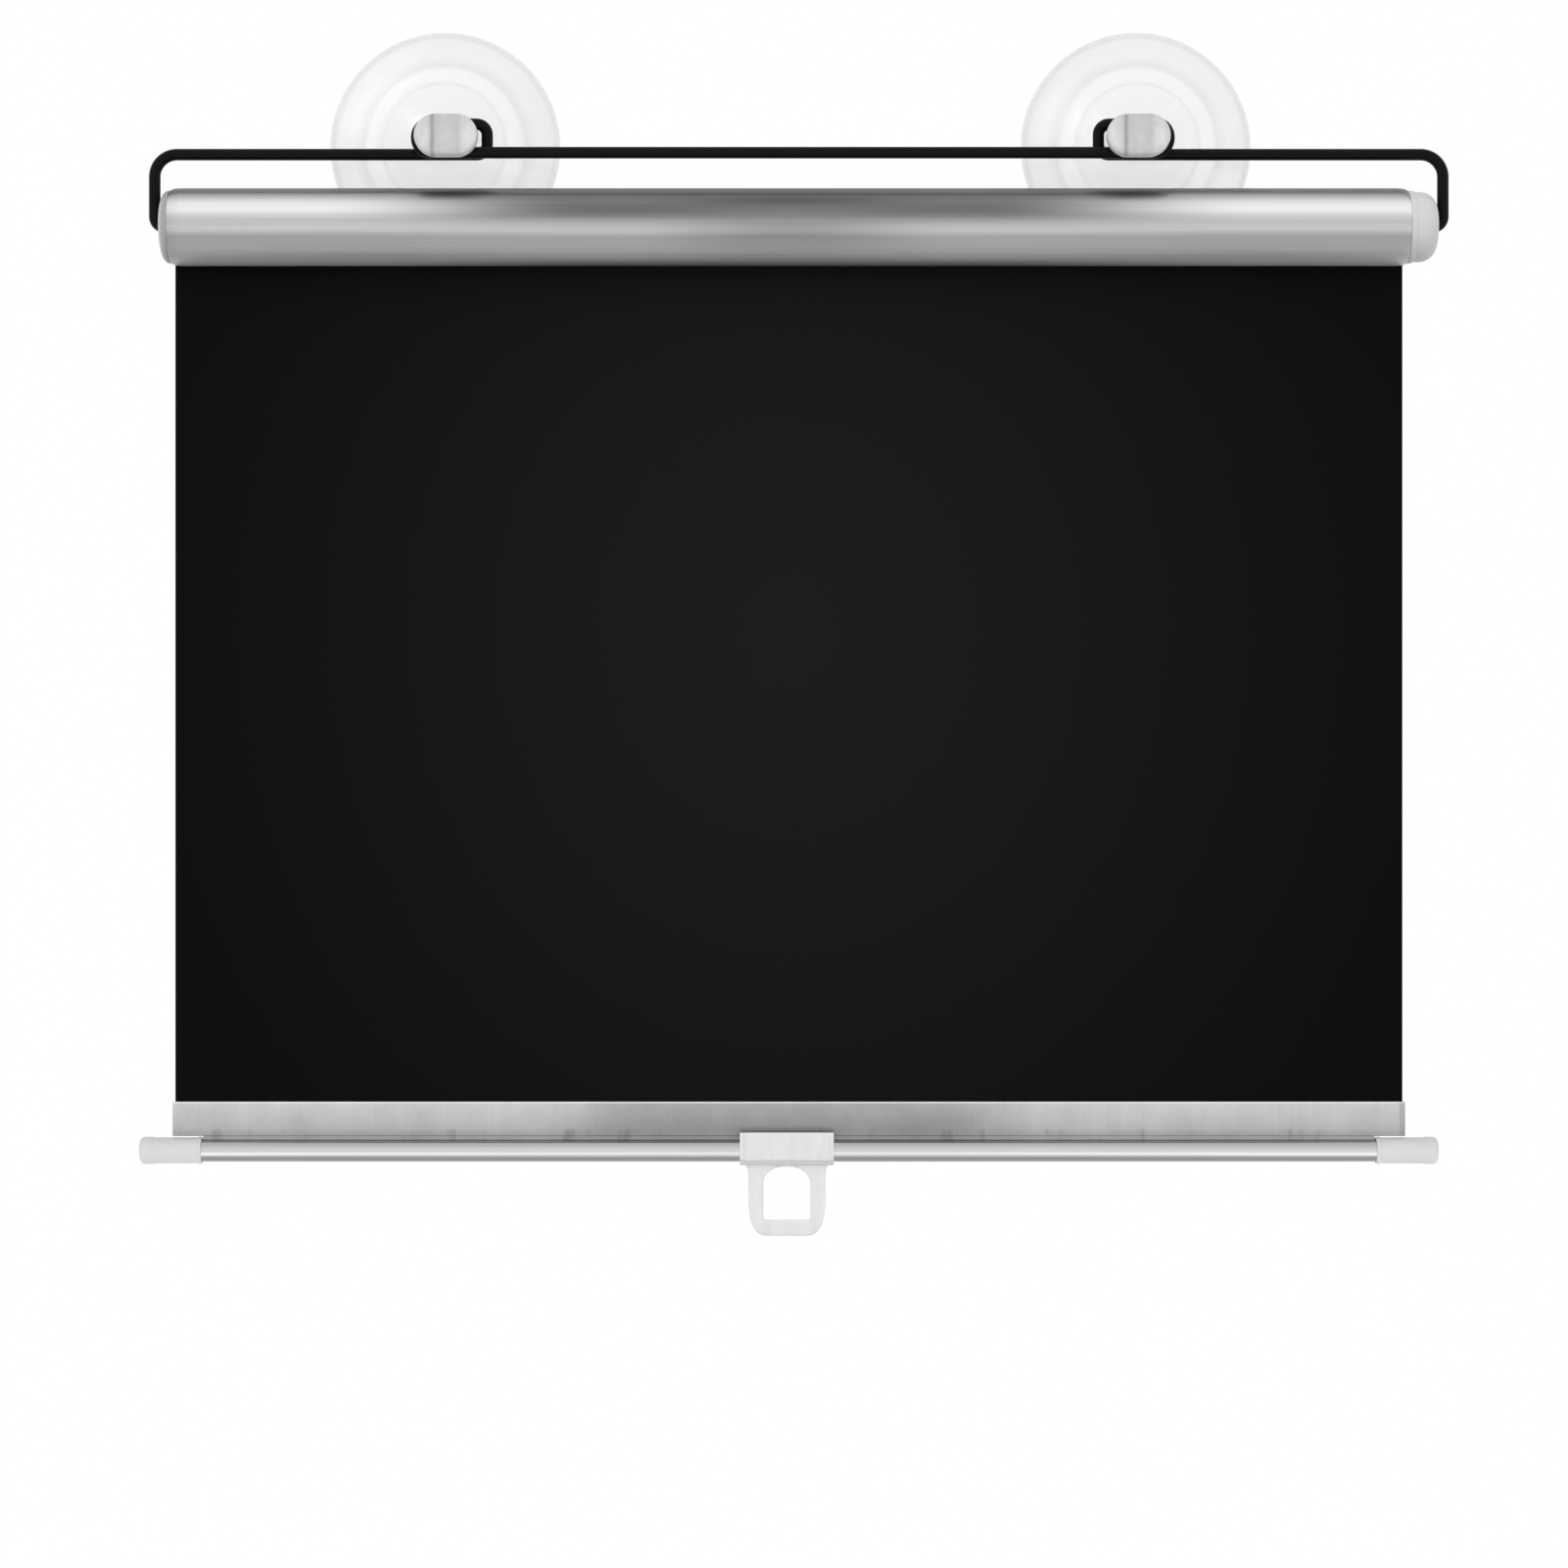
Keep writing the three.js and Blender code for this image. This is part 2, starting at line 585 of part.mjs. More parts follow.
function torsionSpring() {
  const radius = (SHAFT_DIAMETER / 2 + ROLLER_BORE_R) / 2 - SPRING_CLEARANCE;
  const start = SPRING_END - SPRING_LENGTH + SPRING_WIRE / 2;
  const length = SPRING_LENGTH - SPRING_WIRE;
  const steps = SPRING_TURNS * 8;
  const knots = Array.from({ length: steps + 1 }, (_, i) => {
    const angle = (2 * Math.PI * SPRING_TURNS * i) / steps;
    return v3(start + (length * i) / steps, radius * Math.cos(angle), radius * Math.sin(angle));
  });
  return tube(knots, SPRING_WIRE / 2, 5);
}

// The wheel's steep faces stand just ahead of an engaged pawl's tip. A pawl's arm starts at right
// angles to its pivot's radius and swings in to the notch.
function ratchetWheel() {
  const tip = v2(
    -PAWL_LENGTH * Math.cos(PAWL_ENGAGED_ANGLE),
    PAWL_PIVOT_R - PAWL_LENGTH * Math.sin(PAWL_ENGAGED_ANGLE),
  );
  const lead = (PAWL_TIP + GAP) / TIP_ENGAGED_R;
  const firstFace = tip.angle() + lead;
  const pitch = (2 * Math.PI) / RATCHET_TEETH;
  const outline = [];
  for (let tooth = 0; tooth < RATCHET_TEETH; tooth += 1) {
    const face = firstFace + tooth * pitch;
    for (let k = 0; k <= 4; k += 1) {
      const angle = face + (pitch * k) / 4;
      const radius = RATCHET_R - (RATCHET_DEPTH * k) / 4;
      outline.push(v2(radius * Math.cos(angle), radius * Math.sin(angle)));
    }
  }
  const wheel = alongX(new THREE.Shape(outline), RATCHET_X, RATCHET_X + RATCHET_THICKNESS);
  const hole = squareBar(RATCHET_X - 1, RATCHET_X + RATCHET_THICKNESS + 1, TENON_SIDE + 2 * CAP_FIT);
  return cut(wheel, hole);
}

// A pawl about its own pivot, at rest: lifted clear of the wheel.
function pawl() {
  const tipX = -PAWL_LENGTH * Math.cos(PAWL_REST_ANGLE);
  const tipY = -PAWL_LENGTH * Math.sin(PAWL_REST_ANGLE);
  const lean = Math.asin((PAWL_HUB_R - PAWL_TIP) / PAWL_LENGTH);
  const upper = Math.PI + PAWL_REST_ANGLE - Math.PI / 2 + lean;
  const lower = Math.PI + PAWL_REST_ANGLE + Math.PI / 2 - lean;
  const shape = new THREE.Shape([
    ...arc(tipX, tipY, PAWL_TIP, upper, lower, 6),
    ...arc(0, 0, PAWL_HUB_R, lower, upper + 2 * Math.PI, 14),
  ]);
  const pinHole = arc(0, 0, PIN_DIAMETER / 2 + CAP_FIT, 2 * Math.PI, 0, 16).slice(0, 16);
  shape.holes.push(new THREE.Path(pinHole));
  const middle = RATCHET_X + RATCHET_THICKNESS / 2;
  return alongX(shape, middle - PAWL_THICKNESS / 2, middle + PAWL_THICKNESS / 2);
}

function pawlPin() {
  return ring(FLANGE_X + PIN_HOLE_FLOOR + GAP, RATCHET_X + RATCHET_THICKNESS, 0, PIN_DIAMETER / 2, 16);
}

function buildRoller() {
  const roller = new THREE.Group();
  const plugR = ROLLER_BORE_R - CAP_FIT;
  const bearing = JOURNAL_DIAMETER / 2 + GAP;
  const sleeve = ring(-ROLLER_END, ROLLER_END, ROLLER_BORE_R, ROLLER_R);
  const leftPlug = ring(-ROLLER_END, -ROLLER_END + LEFT_PLUG_LENGTH, bearing, plugR);
  const hub = ring(HUB_END - HUB_LENGTH, HUB_END, SHAFT_DIAMETER / 2 + GAP, plugR);
  roller.add(piece('roller_tube', sleeve, materials.rollerSteel));
  roller.add(piece('roller_plug_left', leftPlug, materials.innerPlastic));
  roller.add(piece('roller_plug_right', rightPlug(), materials.innerPlastic));
  roller.add(piece('spring_hub', hub, materials.innerPlastic));
  [1, -1].forEach((side, i) => {
    roller.add(piece(`pawl_pin_${i + 1}`, pawlPin(), materials.springSteel, 0, 0, side * PAWL_PIVOT_R));
    const arm = piece(`pawl_${i + 1}`, pawl(), materials.rollerSteel, 0, 0, side * PAWL_PIVOT_R);
    arm.rotation.x = i * Math.PI;
    roller.add(arm);
  });
  return roller;
}

function buildCasing() {
  const casing = new THREE.Group();
  casing.position.set(0, AXIS_Y, -CUP_Z);
  const collarBore = SHAFT_DIAMETER / 2 + CAP_FIT;
  const collarR = ROLLER_BORE_R - COLLAR_CLEARANCE;
  const collar = ring(COLLAR_X, COLLAR_X + COLLAR_LENGTH, collarBore, collarR);
  casing.add(piece('casing_tube', casingTube(), materials.brushedAluminium));
  casing.add(piece('end_cap_left', leftCap(), materials.whitePlastic));
  casing.add(piece('end_cap_right', rightCap(), materials.whitePlastic));
  casing.add(piece('shade_fabric', film(), materials.film));
  casing.add(piece('spring_shaft', springShaft(), materials.rollerSteel));
  casing.add(piece('torsion_spring', torsionSpring(), materials.springSteel));
  casing.add(piece('spring_collar', collar, materials.innerPlastic));
  casing.add(piece('ratchet_wheel', ratchetWheel(), materials.rollerSteel));
  casing.add(buildRoller());
  return casing;
}

// Hem strip: a channel that grips the film, with a bead foot that slides into the rod's slot.
function hemStrip() {
  const pocket = FILM_THICKNESS / 2 + GAP;
  const floor = HEM_TOP - HEM_GRIP - GAP;
  const channel = new THREE.Shape([
    v2(-HEM_HALF, HEM_TOP),
    v2(-HEM_HALF, HEM_BOTTOM),
    v2(HEM_HALF, HEM_BOTTOM),
    v2(HEM_HALF, HEM_TOP),
    v2(pocket, HEM_TOP),
    v2(pocket, floor),
    v2(-pocket, floor),
    v2(-pocket, HEM_TOP),
  ]);
  const half = WEB_THICKNESS / 2;
  const webTop = HEM_BOTTOM + HEM_WALL;
  const web = new THREE.Shape([v2(-half, ROD_Z), v2(half, ROD_Z), v2(half, webTop), v2(-half, webTop)]);
  const bead = new THREE.Shape(arc(0, ROD_Z, BEAD_DIAMETER / 2, 0, 2 * Math.PI, 16).slice(0, 16));
  const end = FILM_WIDTH / 2 + HEM_PAST_FILM;
  const foot = ROD_CAP_INNER - GAP;
  return join(alongX(channel, -end, end), alongX(web, -foot, foot), alongX(bead, -foot, foot));
}

function bottomRod() {
  const outer = ROD_DIAMETER / 2;
  const bore = outer - ROD_WALL;
  const opening = WEB_THICKNESS / 2 + GAP;
  const outerHalf = Math.asin(opening / outer);
  const boreHalf = Math.asin(opening / bore);
  const outline = [
    ...arc(0, 0, outer, Math.PI / 2 + outerHalf, 2.5 * Math.PI - outerHalf, 32),
    ...arc(0, 0, bore, 2.5 * Math.PI - boreHalf, Math.PI / 2 + boreHalf, 32),
  ];
  const end = ROD_CAP_OUTER - ROD_CAP_END - GAP;
  return alongX(new THREE.Shape(outline), -end, end);
}

// A rod cap with its closed end at the outer side; side is -1 at the left and 1 at the right.
function rodCap(side) {
  const outer = ROD_CAP_DIAMETER / 2;
  const bore = ROD_DIAMETER / 2 + CAP_FIT;
  const bend = ROD_CAP_OUTER - ROD_CAP_ROUND;
  const rounding = arc(bend, outer - ROD_CAP_ROUND, ROD_CAP_ROUND, Math.PI / 2, 0, 4);
  const profile = [
    [ROD_CAP_OUTER - ROD_CAP_END, 0],
    [ROD_CAP_OUTER - ROD_CAP_END, bore],
    [ROD_CAP_INNER, bore],
    [ROD_CAP_INNER, outer],
    ...rounding.map((p) => [p.x, p.y]),
    [ROD_CAP_OUTER, 0],
  ];
  const mirrored = profile.map(([x, radius]) => [-x, radius]).reverse();
  return roundX(side > 0 ? profile : mirrored, 28);
}

// Pull tab about the rod's axis: a jaw that snaps round the rod, a face plate with end ribs, and a ring.
function pullTab() {
  const bore = ROD_DIAMETER / 2 + GAP;
  const outer = bore + CLIP_WALL;
  const half = CLIP_WIDTH / 2;
  const jaw = new THREE.Shape([
    ...arc(0, 0, outer, JAW_FROM, JAW_TO, 26),
    ...arc(0, 0, bore, JAW_TO, JAW_FROM, 26),
  ]);
  const plateBack = -(bore + CLIP_WALL / 8);
  const plate = (proud) => new THREE.Shape([
    v2(-outer - proud, -CLIP_SKIRT),
    v2(plateBack, -CLIP_SKIRT),
    v2(plateBack, CLIP_RISE),
    v2(-outer - proud, CLIP_RISE),
  ]);
  const rib = plate(CLIP_RIB_PROUD);
  return join(
    alongX(jaw, -half, half),
    alongX(plate(0), -half, half),
    alongX(rib, -half, -half + CLIP_RIB),
    alongX(rib, half - CLIP_RIB, half),
    alongY(ringOutline(outer), RING_THICKNESS / 2, -RING_THICKNESS / 2),
  );
}

// The ring's outline with its hole: arched at the top, flat below, tapering to round corners.
function ringOutline(jawR) {
  const top = -(jawR - CLIP_WALL / 2);
  const holeTop = -(jawR + HOLE_BELOW_JAW);
  const holeBottom = holeTop - RING_HOLE_HEIGHT;
  const bottom = holeBottom - RING_BAR;
  const half = RING_WIDTH / 2;
  const bendTop = bottom + 2 * RING_CORNER;
  const bend = bottom + RING_CORNER / 2;
  const flare = top - RING_FLARE_DROP;
  const shape = new THREE.Shape();
  shape.moveTo(-half - RING_FLARE, top);
  shape.quadraticCurveTo(-half, top - RING_FLARE, -half, flare);
  shape.lineTo(-half, bendTop);
  shape.bezierCurveTo(-half, bend, -half + RING_CORNER / 3, bottom, -half + RING_CORNER, bottom);
  shape.lineTo(half - RING_CORNER, bottom);
  shape.bezierCurveTo(half - RING_CORNER / 3, bottom, half, bend, half, bendTop);
  shape.lineTo(half, flare);
  shape.quadraticCurveTo(half, top - RING_FLARE, half + RING_FLARE, top);
  const inner = RING_HOLE_WIDTH / 2;
  const arch = holeTop - RING_ARCH;
  const archBend = holeTop - RING_ARCH / 3;
  const hole = new THREE.Path();
  hole.moveTo(inner, arch);
  hole.lineTo(inner, holeBottom + HOLE_ROUND);
  hole.quadraticCurveTo(inner, holeBottom, inner - HOLE_ROUND, holeBottom);
  hole.lineTo(-inner + HOLE_ROUND, holeBottom);
  hole.quadraticCurveTo(-inner, holeBottom, -inner, holeBottom + HOLE_ROUND);
  hole.lineTo(-inner, arch);
  hole.bezierCurveTo(-inner, archBend, -inner / 2, holeTop, 0, holeTop);
  hole.bezierCurveTo(inner / 2, holeTop, inner, archBend, inner, arch);
  shape.holes.push(new THREE.Path(hole.getPoints(10).slice(0, -1)));
  return shape;
}

function buildBottomBar() {
  const bar = new THREE.Group();
  bar.position.set(0, AXIS_Y + FILM_Y, -CUP_Z);
  bar.add(piece('hem_strip', hemStrip(), materials.hemFoil));
  bar.add(piece('bottom_rod', bottomRod(), materials.brightTube, 0, 0, ROD_Z));
  bar.add(piece('rod_cap_left', rodCap(-1), materials.whitePlastic, 0, 0, ROD_Z));
  bar.add(piece('rod_cap_right', rodCap(1), materials.whitePlastic, 0, 0, ROD_Z));
  bar.add(piece('pull_tab', pullTab(), materials.tabPlastic, TAB_X, 0, ROD_Z));
  return bar;
}

const sunshade = new THREE.Group();
sunshade.add(buildHanger(), buildCasing(), buildBottomBar());

export default sunshade;
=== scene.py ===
"""A car side window roller shade: its pieces, finishes and stage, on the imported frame.

Metres, +Z up, +Y towards the window glass. Shapes are drawn in millimetres in the same frame and
scaled once, when their mesh is made.
"""

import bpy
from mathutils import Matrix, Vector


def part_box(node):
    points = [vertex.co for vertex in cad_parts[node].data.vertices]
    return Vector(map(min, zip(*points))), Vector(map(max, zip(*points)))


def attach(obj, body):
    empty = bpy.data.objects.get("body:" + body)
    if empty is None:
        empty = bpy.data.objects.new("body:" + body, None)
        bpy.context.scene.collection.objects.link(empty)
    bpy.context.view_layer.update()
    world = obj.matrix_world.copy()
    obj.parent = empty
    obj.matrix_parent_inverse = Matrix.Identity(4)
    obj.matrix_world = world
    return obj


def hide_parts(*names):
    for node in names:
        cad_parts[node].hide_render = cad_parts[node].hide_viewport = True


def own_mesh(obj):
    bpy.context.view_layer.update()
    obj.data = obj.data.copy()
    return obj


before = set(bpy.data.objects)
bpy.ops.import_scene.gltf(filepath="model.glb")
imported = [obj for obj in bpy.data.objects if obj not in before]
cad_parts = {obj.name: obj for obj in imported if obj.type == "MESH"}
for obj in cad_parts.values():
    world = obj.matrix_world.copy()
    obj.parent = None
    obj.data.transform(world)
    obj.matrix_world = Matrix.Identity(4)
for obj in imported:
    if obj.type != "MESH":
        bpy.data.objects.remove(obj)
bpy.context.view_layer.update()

import math

import bmesh
import bpy
from mathutils import Matrix, Vector

MM = 0.001

# The casing and what turns inside it
AXIS_Y = -16.0
AXIS_Z = -25.6
CASING_R = 11.3
CASING_WALL = 0.8
CASING_END = 180.8
SEAM = 0.05
SLOT_TOP = math.radians(-33.9)
SLOT_BOTTOM = math.radians(-59.8)
CAP_FACE = 181.1
PLUG_R = 9.6
CAVITY_R = 9.2
JOURNAL_R = 4.0
HOOK_HOLE_R = 2.0
LEFT_FACE = -183.5
LEFT_FACE_R = 6.5
LEFT_BOSS_END = -173.6
CAP_R = 10.6
COLLAR_ROUND = 1.6
DOME_R = 10.2
DOME_END = 189.3
DOME_ROUND = 5.0
CAP_WALL = 1.0
PLUG_LENGTH = 5
BOSS_R = 3.6
BOSS_START = 184.6
HOOK_FLOOR = 1.2
SPRING_TURNS = 20.0
SPRING_R = 3.9
SPRING_WIRE_R = 0.45

# The wire hanger
WIRE_R = 1.7
WIRE_TOP = -4.4
EYE_TOP = 4.4
LAYER_Y = -19.8
LEFT_ARM = -185.5
RIGHT_ARM = 191.3
EYE_HALF = 10.15
EYE_CENTRES = (-98.4, 100.7)
HOOK_TIPS = (-180.3, 186.1)
WIRE_CORNER = 6.5
HOOK_BEND = 3.0
EYE_INNER_ROUND = 3.0
EYE_OUTER_ROUND = 4.2

# The suction cups
CUP_CENTRES = {"suction_cup_left": -101.8, "suction_cup_right": 102.8}
HEAD_CENTRES = {"suction_cup_left": -99.7, "suction_cup_right": 101.6}
CUP_R = 34.0
CUP_CROWN = 13.7
HEAD_BACK = -21.9
HEAD_FRONT = -26.4
NECK_SIZE = (8.3, 4.8)
HEAD_SIZE = (18.6, 12.3)

# The film and the bar at its lower edge
FILM_HALF = 180.5
FILM_Y = -9.0125
FILM_T = 0.3
FILM_R = 6.9875
TURN_PITCH = 0.35
TURNS = 1.25
FILM_BOTTOM = -288.9
HANGING_ROWS = 60
TURN_ROWS = 60
HEM_TOP = -281.9
HEM_BOTTOM = -292.0
HEM_HALF = 181.2
HEM_SIDE = 0.95
HEM_POCKET = 0.45
HEM_FLOOR = -289.2
HEM_FOLD = 179.4
ROD_Z = -296.3
ROD_R = 3.3
ROD_BORE = 2.6
ROD_END = 188.9
ROD_SLOT = 0.8
FOOT_END = 172.3
BEAD_R = 1.5
WEB_HALF = 0.5
ROD_CAP_R = 4.0
ROD_CAP_BORE = 3.45
ROD_CAP_INNER = 172.6
ROD_CAP_OUTER = 190.8
ROD_CAP_LIP = 1.1
ROD_CAP_ROUND = 1.5

# The pull tab, about the rod's axis
TAB_X = -0.6
CLIP_HALF = 13.75
CLIP_BORE = 3.6
CLIP_R = 4.4
CLIP_TOP = 5.6
CLIP_FOOT = -2.6
CLIP_RIB = 1.1
CLIP_RIB_PROUD = 0.4
RING_HALF = 11.3
RING_T = 2.8
RING_TOP = -4.0
HOLE_HALF = 6.9
HOLE_TOP = -4.6
HOLE_BOTTOM = -20.5
RING_BOTTOM = -25.0
RING_EDGE = 0.55

# The stage and the camera
FLOOR_R = 3000
FLOOR_Z = -500
FLOOR_FADE = (220, 420)
CAMERA_PLACE = (-1.43, -1216, -188.5)
CAMERA_LENS = 94.18


# ---------------------------------------------------------------- shader expressions

def grey(tone):
    """A neutral colour from a tone of 0 to 255 as it shows on a screen."""
    share = tone / 255
    value = share / 12.92 if share <= 0.04045 else ((share + 0.055) / 1.055) ** 2.4
    return (value, value, value, 1.0)


class Signal:
    """A socket of a node tree that takes part in sums."""

    def __init__(self, tree, socket):
        self.tree = tree
        self.socket = socket

    def at(self, output):
        return Signal(self.tree, self.socket.node.outputs[output])

    def sum(self, operation, *values):
        return self.tree.add("ShaderNodeMath", {"operation": operation}, dict(enumerate(values)))

    def __add__(self, other):
        return self.sum("ADD", self, other)

    def __sub__(self, other):
        return self.sum("SUBTRACT", self, other)

    def __rsub__(self, other):
        return self.sum("SUBTRACT", other, self)

    def __mul__(self, other):
        return self.sum("MULTIPLY", self, other)

    def __truediv__(self, other):
        return self.sum("DIVIDE", self, other)

    def __pow__(self, other):
        return self.sum("POWER", self, other)

    def __abs__(self):
        return self.sum("ABSOLUTE", self)

    __radd__ = __add__
    __rmul__ = __mul__

    def larger(self, other):
        return self.sum("MAXIMUM", self, other)

    def step(self, low, high):
        """0 below low, 1 above high, smooth between."""
        settings = {"interpolation_type": "SMOOTHSTEP", "clamp": True}
        inputs = {"Value": self, "From Min": low, "From Max": high}
        return self.tree.add("ShaderNodeMapRange", settings, inputs)


class Tree:
    """A shader node tree that grows one node at a time."""

    def __init__(self, owner):
        owner.use_nodes = True
        self.owner = owner
        self.tree = owner.node_tree

    def add(self, kind, settings, inputs, output=0):
        node = self.tree.nodes.new(kind)
        for name, value in settings.items():
            if name == "stops":
                for place, _ in value[2:]:
                    node.color_ramp.elements.new(place)
                for element, (place, colour) in zip(node.color_ramp.elements, value):
                    element.position = place
                    element.color = colour
            else:
                setattr(node, name, value)
        for name, value in inputs.items():
            self.feed(node.inputs[name], value)
        return Signal(self, node.outputs[output])

    def feed(self, socket, value):
        if isinstance(value, Signal):
            self.tree.links.new(value.socket, socket)
        else:
            socket.default_value = value

    def tones(self, value, stops):
        """A grey that changes with a value from 0 to 1, through [place, tone] stops."""
        return self.add("ShaderNodeValToRGB", {"stops": [(p, grey(t)) for p, t in stops]}, {"Fac": value})

    def mix(self, share, first, second, blend="MIX"):
        settings = {"data_type": "RGBA", "blend_type": blend}
        return self.add("ShaderNodeMix", settings, {"Factor": share, 6: first, 7: second}, 2)

    def noise(self, place, stretch, scale, detail=3.0, roughness=0.5):
        stretched = self.add("ShaderNodeMapping", {}, {"Vector": place, "Scale": stretch})
        inputs = {"Vector": stretched, "Scale": scale, "Detail": detail, "Roughness": roughness}
        return self.add("ShaderNodeTexNoise", {}, inputs)


class Finish(Tree):
    """A material with one Principled surface, in terms of the object's own place."""

    def __init__(self, name, **constants):
        super().__init__(bpy.data.materials.new(name))
        self.material = self.owner
        self.surface = self.tree.nodes["Principled BSDF"]
        for socket, value in constants.items():
            self.set(socket, value)

    def set(self, socket, value):
        self.feed(self.surface.inputs[socket.replace("_", " ")], value)

    def place(self):
        return self.add("ShaderNodeTexCoord", {}, {}, "Object")

    def axes(self, place):
        split = self.add("ShaderNodeSeparateXYZ", {}, {"Vector": place})
        return split.at("X"), split.at("Y"), split.at("Z")

    def relief(self, height, strength, distance):
        inputs = {"Height": height, "Strength": strength, "Distance": distance * MM}
        self.set("Normal", self.add("ShaderNodeBump", {}, inputs))


def upright(z, centre, radius):
    """0 at the bottom of a round bar and 1 at its top."""
    return (z - (centre - radius) * MM) / (2 * radius * MM)


# ---------------------------------------------------------------- finishes

def casing_aluminium():
    finish = Finish("casing_aluminium")
    place = finish.place()
    x, _, z = finish.axes(place)
    height = upright(z, AXIS_Z, CASING_R)
    # Painted reflections and highlights: tones by height round the tube, one ramp near the ends, one at the
    # shoulders and one in the middle of its length
    ends_painted_light = finish.tones(height, [
        (0.0, 174), (0.03, 186), (0.064, 180), (0.1, 171), (0.167, 174), (0.204, 170), (0.278, 163),
        (0.316, 164), (0.355, 175), (0.394, 196), (0.433, 201), (0.513, 194), (0.554, 203), (0.595, 214),
        (0.637, 235), (0.679, 240), (0.722, 236), (0.766, 228), (0.81, 203), (0.856, 177), (0.904, 150),
        (0.957, 104), (1.0, 100)])
    shoulder_painted_light = finish.tones(height, [
        (0.0, 116), (0.032, 159), (0.064, 184), (0.132, 181), (0.204, 177), (0.278, 167), (0.316, 168),
        (0.355, 185), (0.394, 194), (0.433, 191), (0.473, 180), (0.513, 166), (0.554, 143), (0.595, 125),
        (0.637, 113), (0.722, 114), (0.766, 123), (0.81, 119), (0.856, 126), (0.904, 121), (0.957, 82),
        (1.0, 90)])
    middle = finish.tones(height, [
        (0.0, 117), (0.032, 153), (0.064, 174), (0.132, 170), (0.204, 160), (0.278, 146), (0.316, 141),
        (0.355, 154), (0.394, 165), (0.433, 161), (0.513, 152), (0.554, 140), (0.595, 131), (0.637, 125),
        (0.679, 120), (0.722, 112), (0.766, 99), (0.81, 100), (0.856, 117), (0.904, 112), (0.957, 78),
        (1.0, 90)])
    drift = finish.noise(place, (9, 60, 60), 1.0, 2.0) * 0.024
    far = abs(x) + drift
    inner = finish.mix(far.step(16 * MM, 60 * MM), middle, shoulder_painted_light)
    base = finish.mix(far.step(68 * MM, 150 * MM), inner, ends_painted_light)
    brushed = finish.noise(place, (5, 900, 900), 3.0, 4.0)
    # Painted shade: the tube darker over its last few millimetres at the left end
    left_end_painted_shade = (x * -1.0).step(176 * MM, CASING_END * MM)
    value = brushed * 0.26 + 0.87 - left_end_painted_shade * 0.14
    toned = finish.add("ShaderNodeHueSaturation", {}, {"Color": base, "Value": value})
    finish.set("Base_Color", toned)
    finish.set("Metallic", height.step(0.1, 0.4) * 0.75 + 0.25)
    finish.set("Roughness", brushed * 0.2 + 0.26)
    finish.relief(brushed, 0.1, 0.05)
    return finish.material


def white_plastic(name, low, high, centre, radius):
    """Moulded white plastic with painted light and shade: a tone of low at its underside and high at its top.
    """
    finish = Finish(name, Roughness=0.38, Specular_IOR_Level=0.3)
    place = finish.place()
    _, _, z = finish.axes(place)
    tone = finish.tones(upright(z, centre, radius), [(0.0, low), (0.35, (low + high) / 2), (1.0, high)])
    finish.set("Base_Color", tone)
    grain = finish.noise(place, (1, 1, 1), 900.0, 2.0)
    finish.relief(grain, 0.05, 0.02)
    return finish.material


def left_cap_plastic():
    """The same plastic with painted light and shade: lightest at the thin outer edge and greyest beside the
    tube.
    """
    finish = Finish("left_cap_white", Roughness=0.38, Specular_IOR_Level=0.3)
    x, _, _ = finish.axes(finish.place())
    inward = (x - LEFT_FACE * MM) / (2.6 * MM)
    finish.set("Base_Color", finish.tones(inward, [(0.0, 226), (0.25, 200), (0.6, 166), (1.0, 170)]))
    return finish.material


def shade_film():
    """Black film with a fine cloth-like grain and painted light: a little lighter towards its middle, darker
    to its edges.
    """
    finish = Finish("shade_film", Roughness=0.62, Specular_IOR_Level=0.05)
    flat = finish.add("ShaderNodeTexCoord", {}, {}, "UV")
    u, v, _ = finish.axes(flat)
    across = (u - 0.5) * 1.9
    along = (v - 0.55) * 1.2
    far = (across * across + along * along) ** 0.5
    # Painted light: lightest in the middle of the sheet, darkest at its edges
    tone = finish.tones(far, [(0.0, 26), (0.35, 22), (0.7, 15), (1.0, 8)])
    finish.set("Base_Color", tone)
    weave = finish.noise(flat, (1, 0.88, 1), 700.0, 2.0)
    finish.relief(weave, 0.12, 0.04)
    finish.set("Roughness", weave * 0.16 + 0.54)
    return finish.material


def coated_wire():
    finish = Finish("coated_wire", Specular_IOR_Level=0.1)
    finish.set("Base_Color", grey(9))
    skin = finish.noise(finish.place(), (1, 1, 1), 260.0, 2.0)
    finish.set("Roughness", skin * 0.18 + 0.28)
    finish.relief(skin, 0.08, 0.05)
    return finish.material


def clear_pvc(name, centre):
    """Clear soft plastic: greyer towards the flat rim, with dark rings of painted shade at the moulding's
    steps.
    """
    finish = Finish(name, Roughness=0.12, IOR=1.4, Transmission_Weight=0.86, Specular_IOR_Level=0.4)
    place = finish.place()
    x, _, z = finish.axes(place)
    x = x - centre * MM
    far = (x * x + z * z) ** 0.5 / (CUP_R * MM)
    # Painted shade: dark rings at the moulded steps and near the rim
    tone = finish.tones(far, [
        (0.0, 244), (0.5, 250), (0.53, 242), (0.56, 251), (0.66, 252), (0.705, 238), (0.8, 247),
        (0.93, 245), (0.97, 234), (1.0, 246)])
    finish.set("Base_Color", tone)
    cloud = finish.noise(place, (1, 1, 1), 40.0, 2.0)
    finish.set("Roughness", cloud * 0.16 + 0.06)
    return finish.material


